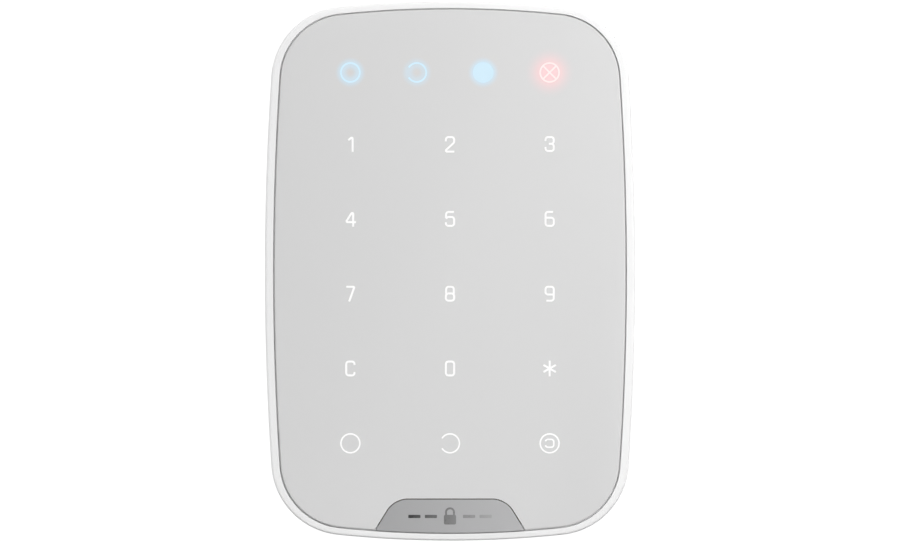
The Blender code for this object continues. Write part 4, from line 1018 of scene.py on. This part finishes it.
def build_cover():
    """The rear cover: its border, the recess with its ramp, and the openings in the recess floor."""
    case = bpy.context.scene.keypad_case
    back = COVER_HIGH.y
    side = BRACKET_HIGH.x + RECESS_FIT
    top = BRACKET_HIGH.z + RECESS_FIT
    bottom = BRACKET_LOW.z - SLIDE_ROOM - RECESS_FIT
    floor_back = back - RECESS_DEPTH
    floor_front = floor_back - RECESS_FLOOR
    plate = thicken(outer_face(back, -case.cover_inset), -case.cover_thickness)
    round_rim(plate, back, COVER_ROUNDING, segments=2)
    tub = thicken(rounded_face(-side - RECESS_WALL, side + RECESS_WALL,
                               bottom - RECESS_WALL, top + RECESS_WALL,
                               case.recess_radius + RECESS_WALL, back - TUB_INSET),
                  floor_front - back + TUB_INSET)
    cover = combine(plate, tub, 'UNION')
    places = [middle_of(*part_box(name)) for name in SCREW_NAMES]
    deep = COVER_LOW.y
    cover = combine(cover, drums(places, back - TUB_INSET, deep, CUP_RADIUS), 'UNION')
    head_holes = drums(places, back + CUT_PAST, deep + CUT_PAST, HEAD_HOLE_RADIUS, 48)
    cover = combine(cover, head_holes, 'DIFFERENCE')
    shank_holes = drums(places, back, deep - CUT_PAST, SHANK_HOLE_RADIUS, 32)
    cover = combine(cover, shank_holes, 'DIFFERENCE')
    cover = combine(cover, recess_pocket(side, bottom, top, back, floor_back), 'DIFFERENCE')
    openings = recess_openings(bottom, floor_back + RECESS_FIT, floor_front - CUT_PAST)
    cover = combine(cover, openings, 'DIFFERENCE')
    white = moulded_plastic("cover_white", shade(bpy.context.scene.keypad_finish.case, 0.99), 0.46)
    add_piece("back_cover", cover, white, "keypad", ["rear_cover"])


def screw_socket(place, top):
    """The solid that cuts a six-lobe socket."""
    socket = None
    for lobe in range(LOBE_COUNT):
        angle = lobe * 2 * math.pi / LOBE_COUNT
        spot = (place[0] + SOCKET_RADIUS * math.cos(angle), place[1] + SOCKET_RADIUS * math.sin(angle))
        one = drums([spot], top + LOBE_PAST, top - LOBE_DEPTH, LOBE_RADIUS, 16)
        socket = combine(socket, one, 'UNION') if socket else one
    core = drums([place], top + SOCKET_PAST, top - SOCKET_DEPTH, SOCKET_RADIUS, 24)
    return combine(socket, core, 'UNION')


def build_screws():
    """The sunk case screws."""
    steel = metal_material("screw_plating", (0.16, 0.16, 0.17), 0.32)
    for name in SCREW_NAMES:
        low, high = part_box(name)
        place = middle_of(low, high)
        head_front = high.y - SCREW_HEAD_HEIGHT
        screw = drums([place], high.y, head_front, (high.x - low.x) / 2, 48)
        round_rim(screw, high.y, SCREW_ROUNDING, segments=4)
        shank = bmesh.new()
        drum(shank, place, head_front + SHANK_OVERLAP, low.y, SHANK_RADIUS, SHANK_TIP_RADIUS, 32)
        screw = combine(screw, shank, 'UNION')
        screw = combine(screw, screw_socket(place, high.y), 'DIFFERENCE')
        add_piece(name.replace("case", "cover"), screw, steel, "keypad", [name])


def tab_cuts(back, front):
    """The slots round the break-away tab."""
    shape = bpy.context.scene.keypad_bracket
    side, top = BRACKET_HIGH.x, BRACKET_HIGH.z
    inner_x = side - shape.tab_width
    lower_z = top - shape.tab_height
    slot = shape.slot_width
    cuts = bmesh.new()
    brick(cuts, (inner_x - slot, front, top - TAB_END_SLOT), (inner_x, back, top + CUT_PAST))
    brick(cuts, (side - TAB_END_SLOT, front, lower_z - slot), (side + CUT_PAST, back, lower_z))
    brick(cuts, (inner_x + TAB_CORNER + TAB_BRIDGE, front, lower_z - slot),
          (side - TAB_END_SLOT - TAB_BRIDGE, back, lower_z))
    bent = bmesh.new()
    pen = Pen(bent, slot, back)
    start_z = top - TAB_END_SLOT - TAB_BRIDGE
    pen.start((inner_x - slot / 2, start_z), -math.pi / 2)
    pen.go(start_z - lower_z - TAB_CORNER)
    pen.turn(TAB_CORNER + slot / 2, math.pi / 4, 10)
    add_mesh(cuts, thicken(bent, front - back))
    return cuts


def add_pads(plate, places, wall_y, back):
    """Join the round screw pads to the bracket's plate."""
    shape = bpy.context.scene.keypad_bracket
    radius = shape.pad_diameter / 2
    flare = shape.pad_flare * (1 + PAD_SUNK / shape.pad_height)
    for place in places:
        pad = bmesh.new()
        drum(pad, place, wall_y, back - PAD_SUNK, radius, radius + flare)
        round_rim(pad, wall_y, BRACKET_ROUNDING, segments=3)
        plate = combine(plate, pad, 'UNION')
    return plate


def add_hooks(plate, back):
    """Join the hooks that hold the keypad to the bracket's plate: first the lips, then their tips."""
    floor_front = back - RECESS_DEPTH - RECESS_FLOOR
    lips = bmesh.new()
    tips = bmesh.new()
    tip_half_width = HOOK_HALF_WIDTH - HOOK_SHAVE
    for x, z in hook_places():
        brick(lips, (x - HOOK_HALF_WIDTH, floor_front - HOOK_DEPTH, z),
              (x + HOOK_HALF_WIDTH, back - HOOK_ROOT, z + HOOK_HEIGHT))
        brick(tips, (x - tip_half_width, floor_front - HOOK_DEPTH + HOOK_SHAVE, z + HOOK_TIP_START),
              (x + tip_half_width, floor_front - RECESS_FIT, z + HOOK_TIP_END))
    return combine(combine(plate, lips, 'UNION'), tips, 'UNION')


def cut_screw_holes(plate, places, wall_y, front):
    """Drill the pads and sink the holes from the front."""
    radius = bpy.context.scene.keypad_bracket.hole_diameter / 2
    for place in places:
        hole = drums([place], wall_y + CUT_PAST, front - CUT_PAST, radius)
        plate = combine(plate, hole, 'DIFFERENCE')
        sink = bmesh.new()
        drum(sink, place, front + SINK_DEPTH, front - SINK_PAST, radius, SINK_RADIUS)
        plate = combine(plate, sink, 'DIFFERENCE')
    return plate


def build_bracket():
    """The wall bracket: plate, round screw pads, tamper tab and hooks."""
    wall_y = BRACKET_HIGH.y
    back = wall_y - bpy.context.scene.keypad_bracket.pad_height
    front = back - BRACKET_THICKNESS
    corner = bpy.context.scene.keypad_case.recess_radius - RECESS_FIT
    plate = thicken(rounded_face(BRACKET_LOW.x, BRACKET_HIGH.x, BRACKET_LOW.z, BRACKET_HIGH.z, corner, back,
                                 steps=16), front - back)
    round_rim(plate, back, BRACKET_ROUNDING, segments=3)
    across = BRACKET_HIGH.x - PAD_SIDE_INSET
    heights = (BRACKET_HIGH.z - PAD_TOP_INSET, BRACKET_LOW.z + PAD_BOTTOM_INSET)
    places = [(side * across, height) for side in (-1, 1) for height in heights]
    plate = add_pads(plate, places, wall_y, back)
    plate = add_hooks(plate, back)
    plate = combine(plate, tab_cuts(wall_y + CUT_PAST, front - CUT_PAST), 'DIFFERENCE')
    plate = cut_screw_holes(plate, places, wall_y, front)
    white = moulded_plastic("bracket_white", tuple(bpy.context.scene.keypad_finish.case), 0.48, grain=0.45)
    add_piece("wall_plate", plate, white, "bracket", ["wall_bracket"])


def build_switch_case(knob_x, middle_z):
    """The power switch's metal case with the track of the knob."""
    back = SWITCH_HIGH.y
    shell = thicken(rounded_face(SWITCH_LOW.x, SWITCH_HIGH.x, SWITCH_LOW.z, SWITCH_HIGH.z, SWITCH_CORNER,
                                 back, steps=4), SWITCH_LOW.y - back)
    round_rim(shell, back, SWITCH_ROUNDING, segments=3)
    track = bmesh.new()
    brick(track, (knob_x + TRACK_LEFT, back - TRACK_DEPTH, middle_z - TRACK_HALF_HEIGHT),
          (knob_x + TRACK_RIGHT, back + CUT_PAST, middle_z + TRACK_HALF_HEIGHT))
    shell = combine(shell, track, 'DIFFERENCE')
    tin = metal_material("switch_case_tin", (0.50, 0.50, 0.49), 0.34)
    add_piece("slide_switch_case", shell, tin, "keypad", ["power_switch_case"])


def build_switch_knob(knob_x, middle_z):
    """The power switch's ribbed knob on its stem."""
    back = KNOB_HIGH.y
    knob = thicken(rounded_face(KNOB_LOW.x, KNOB_HIGH.x, KNOB_LOW.z, KNOB_HIGH.z, KNOB_CORNER, back, steps=4),
                   -KNOB_HEAD)
    round_rim(knob, back, KNOB_ROUNDING, segments=3)
    grooves = bmesh.new()
    for index in range(GROOVE_COUNT):
        x = knob_x + (index - 1) * GROOVE_PITCH
        brick(grooves, (x - GROOVE_HALF_WIDTH, back - GROOVE_DEPTH, KNOB_LOW.z - CUT_PAST),
              (x + GROOVE_HALF_WIDTH, back + CUT_PAST, KNOB_HIGH.z + CUT_PAST))
    knob = combine(knob, grooves, 'DIFFERENCE')
    stem = bmesh.new()
    brick(stem, (knob_x - STEM_HALF_WIDTH, KNOB_LOW.y, middle_z - STEM_HALF_HEIGHT),
          (knob_x + STEM_HALF_WIDTH, back - STEM_OVERLAP, middle_z + STEM_HALF_HEIGHT))
    knob = combine(knob, stem, 'UNION')
    black = moulded_plastic("switch_black", (0.018, 0.018, 0.018), 0.42, variation=0.05)
    add_piece("slide_switch_knob", knob, black, "power_switch", ["power_switch_knob"])


def dress_inner_nodes():
    """Materials for the CAD nodes that stay."""
    white = moulded_plastic("plunger_white", (0.80, 0.80, 0.80), 0.4)
    grey = moulded_plastic("frame_grey", (0.62, 0.62, 0.62), 0.5)
    black = moulded_plastic("package_black", (0.02, 0.02, 0.02), 0.5, variation=0.06)
    resin = moulded_plastic("resin_cream", (0.85, 0.84, 0.76), 0.25)
    film = moulded_plastic("film_amber", (0.60, 0.38, 0.12), 0.3, grain=0.1)
    guide = moulded_plastic("guide_clear", (0.82, 0.88, 0.92), 0.1, grain=0.05)
    guide.node_tree.nodes["Principled BSDF"].inputs["Transmission Weight"].default_value = 0.8
    board = board_material()
    cell = cell_material()
    nickel = metal_material("nickel_plate", (0.70, 0.68, 0.63), 0.26)
    tin = metal_material("shield_tin_plate", (0.62, 0.62, 0.60), 0.3)
    dress = {"tamper_plunger": white, "battery_frame": grey, "light_guide": guide, "touch_sensor_film": film,
             "main_board": board, "switch_board": board, "film_connector": resin, "capacitor": tin,
             "radio_module": tin, "antenna": nickel, "tamper_spring": nickel, "controller_chip": black,
             "touch_chip": black, "buzzer": black, "board_header": black, "tamper_switch": black}
    groups = (("indicator_led", 4, resin), ("battery_cell", 4, cell), ("battery_spring", 4, nickel),
              ("contact_plate", 5, nickel))
    for name, count, material in groups:
        dress.update({f"{name}_{number}": material for number in range(1, count + 1)})
    for name, material in dress.items():
        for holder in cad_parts[name].material_slots:
            holder.material = material


# ---------------------------------------------------------------- stage

def aim_from(place):
    """The rotation of something at place whose Z axis points to the keypad."""
    return (-Vector(place)).to_track_quat('Z', 'Y').to_matrix().to_4x4()


def add_stage_object(name, mesh, material):
    """Make an object of the stage, which isn't a piece of the keypad."""
    data = bpy.data.meshes.new(name)
    mesh.to_mesh(data)
    mesh.free()
    data.materials.append(material)
    thing = bpy.data.objects.new(name, data)
    bpy.context.scene.collection.objects.link(thing)
    return thing


def glow_material(name, strength):
    """Plain white light."""
    nodes = Nodes(name)
    nodes.colour((0.0, 0.0, 0.0))
    nodes.emit((1.0, 1.0, 1.0), strength)
    return nodes.material


def build_card(name, place, size, power):
    """A glowing card that faces the keypad and that the camera doesn't see."""
    mesh = bmesh.new()
    matrix = Matrix.Translation(place) @ aim_from(place) @ Matrix.Diagonal((*size, 1.0, 1.0))
    bmesh.ops.create_grid(mesh, x_segments=1, y_segments=1, size=0.5, matrix=matrix)
    card = add_stage_object(name, mesh, glow_material(name, power / (math.pi * size[0] * size[1])))
    card.visible_camera = False
    card.visible_shadow = False


def build_sun(energy):
    """A soft sun from above."""
    data = bpy.data.lights.new("overhead", 'SUN')
    data.energy = energy
    data.angle = math.radians(SUN_ANGLE)
    lamp = bpy.data.objects.new("overhead", data)
    lamp.rotation_euler = Vector(SUN_PLACE).to_track_quat('Z', 'Y').to_euler()
    bpy.context.scene.collection.objects.link(lamp)


def studio_world(above, below):
    """Soft white light from all round that is weaker from below."""
    world = bpy.data.worlds.new("studio")
    world.use_nodes = True
    tree = world.node_tree
    direction = tree.nodes.new("ShaderNodeTexCoord").outputs["Generated"]
    split = tree.nodes.new("ShaderNodeSeparateXYZ")
    tree.links.new(direction, split.inputs["Vector"])
    rise = tree.nodes.new("ShaderNodeMapRange")
    for key, value in (("From Min", -0.6), ("From Max", 0.15), ("To Min", below), ("To Max", above)):
        rise.inputs[key].default_value = value
    tree.links.new(split.outputs["Z"], rise.inputs["Value"])
    background = tree.nodes["Background"]
    background.inputs["Color"].default_value = (1.0, 1.0, 1.0, 1.0)
    tree.links.new(rise.outputs["Result"], background.inputs["Strength"])
    return world


def build_floor():
    """A pale floor that gives no light to the keypad."""
    settings = bpy.context.scene.keypad_stage
    mesh = bmesh.new()
    bmesh.ops.create_circle(mesh, cap_ends=True, segments=96, radius=FLOOR_RADIUS,
                            matrix=Matrix.Translation((0.0, 0.0, -settings.floor_drop)))
    nodes = Nodes("floor_pale")
    nodes.colour(nodes.mix(nodes.noise(scale=2.0), (0.90, 0.90, 0.90), (0.92, 0.92, 0.92)))
    nodes.set("Roughness", 0.9)
    nodes.emit((1.0, 1.0, 1.0), settings.floor_lift)
    floor = add_stage_object("floor", mesh, nodes.material)
    floor.visible_diffuse = False
    floor.visible_glossy = False


def build_backdrop():
    """A white dome that only the camera sees."""
    mesh = bmesh.new()
    bmesh.ops.create_uvsphere(mesh, u_segments=48, v_segments=24, radius=BACKDROP_RADIUS)
    dome = add_stage_object("backdrop", mesh, glow_material("backdrop_white", BACKDROP_STRENGTH))
    dome.visible_diffuse = False
    dome.visible_glossy = False
    dome.visible_shadow = False


def build_camera():
    """A camera straight in front of the panel."""
    scene = bpy.context.scene
    settings = scene.keypad_stage
    data = bpy.data.cameras.new("camera")
    data.lens = settings.lens
    data.sensor_width = FILM_WIDTH
    data.clip_end = VIEW_END
    camera = bpy.data.objects.new("camera", data)
    distance = settings.picture_width * settings.lens / FILM_WIDTH
    camera.location = (0.0, PANEL_LOW.y - distance, 0.0)
    camera.rotation_euler = (math.pi / 2, 0.0, 0.0)
    scene.collection.objects.link(camera)
    scene.camera = camera


# ---------------------------------------------------------------- operators

class KEYPAD_OT_housing(Operator):
    """Build the white case shell"""
    bl_idname = "keypad.housing"
    bl_label = "Case Shell"

    def execute(self, context):
        build_housing()
        return {'FINISHED'}


class KEYPAD_OT_panel(Operator):
    """Build the grey touch panel"""
    bl_idname = "keypad.panel"
    bl_label = "Touch Panel"

    def execute(self, context):
        build_panel()
        return {'FINISHED'}


class KEYPAD_OT_nameplate(Operator):
    """Build the nameplate and its sign"""
    bl_idname = "keypad.nameplate"
    bl_label = "Nameplate"

    def execute(self, context):
        build_nameplate()
        return {'FINISHED'}


class KEYPAD_OT_legends(Operator):
    """Build the lit digits and function signs"""
    bl_idname = "keypad.legends"
    bl_label = "Key Legends"

    def execute(self, context):
        build_legends()
        return {'FINISHED'}


class KEYPAD_OT_indicators(Operator):
    """Build the lit state indicators"""
    bl_idname = "keypad.indicators"
    bl_label = "Indicators"

    def execute(self, context):
        build_indicators()
        return {'FINISHED'}


class KEYPAD_OT_cover(Operator):
    """Build the back cover"""
    bl_idname = "keypad.cover"
    bl_label = "Back Cover"

    def execute(self, context):
        build_cover()
        return {'FINISHED'}


class KEYPAD_OT_screws(Operator):
    """Build the sunk screws"""
    bl_idname = "keypad.screws"
    bl_label = "Cover Screws"

    def execute(self, context):
        build_screws()
        return {'FINISHED'}


class KEYPAD_OT_bracket(Operator):
    """Build the wall bracket"""
    bl_idname = "keypad.bracket"
    bl_label = "Wall Bracket"

    def execute(self, context):
        build_bracket()
        return {'FINISHED'}


class KEYPAD_OT_switch(Operator):
    """Build the power switch and its knob"""
    bl_idname = "keypad.switch"
    bl_label = "Power Switch"

    def execute(self, context):
        knob_x = (KNOB_LOW.x + KNOB_HIGH.x) / 2
        middle_z = (SWITCH_LOW.z + SWITCH_HIGH.z) / 2
        build_switch_case(knob_x, middle_z)
        build_switch_knob(knob_x, middle_z)
        return {'FINISHED'}


class KEYPAD_OT_inner(Operator):
    """Give the inner parts their materials"""
    bl_idname = "keypad.inner"
    bl_label = "Inner Parts"

    def execute(self, context):
        dress_inner_nodes()
        return {'FINISHED'}


class KEYPAD_OT_stage(Operator):
    """Build the floor, backdrop, lights and camera"""
    bl_idname = "keypad.stage"
    bl_label = "Stage"

    def execute(self, context):
        settings = context.scene.keypad_stage
        context.scene.view_settings.view_transform = 'Standard'
        build_floor()
        build_backdrop()
        context.scene.world = studio_world(settings.ambient, settings.ambient * settings.from_below)
        for name, place, size, power in CARDS:
            build_card(name, place, size, getattr(settings, power))
        build_sun(settings.top_strength)
        build_camera()
        return {'FINISHED'}


OPERATORS = (KEYPAD_OT_housing, KEYPAD_OT_panel, KEYPAD_OT_nameplate, KEYPAD_OT_legends, KEYPAD_OT_indicators,
             KEYPAD_OT_cover, KEYPAD_OT_screws, KEYPAD_OT_bracket, KEYPAD_OT_switch, KEYPAD_OT_inner,
             KEYPAD_OT_stage)


class KEYPAD_PT_builder(Panel):
    """Sidebar list of the keypad's pieces"""
    bl_label = "Wall Keypad"
    bl_idname = "KEYPAD_PT_builder"
    bl_space_type = 'VIEW_3D'
    bl_region_type = 'UI'
    bl_category = "Keypad"

    def draw(self, context):
        for operator in OPERATORS:
            self.layout.operator(operator.bl_idname)


SETTINGS = {"keypad_case": KeypadCaseSettings, "keypad_bracket": KeypadBracketSettings,
            "keypad_legend": KeypadLegendSettings, "keypad_finish": KeypadFinishSettings,
            "keypad_stage": KeypadStageSettings}


def register():
    """Register the classes and hang the settings on the scene."""
    for kind in [*SETTINGS.values(), *OPERATORS, KEYPAD_PT_builder]:
        bpy.utils.register_class(kind)
    for name, kind in SETTINGS.items():
        setattr(bpy.types.Scene, name, PointerProperty(type=kind))


def unregister():
    """Undo register."""
    for name in SETTINGS:
        delattr(bpy.types.Scene, name)
    for kind in [KEYPAD_PT_builder, *reversed(OPERATORS), *reversed(list(SETTINGS.values()))]:
        bpy.utils.unregister_class(kind)


def main():
    """Build every piece."""
    register()
    bpy.ops.keypad.housing()
    bpy.ops.keypad.panel()
    bpy.ops.keypad.nameplate()
    bpy.ops.keypad.legends()
    bpy.ops.keypad.indicators()
    bpy.ops.keypad.cover()
    bpy.ops.keypad.screws()
    bpy.ops.keypad.bracket()
    bpy.ops.keypad.switch()
    bpy.ops.keypad.inner()
    bpy.ops.keypad.stage()


if __name__ == "__main__":
    main()
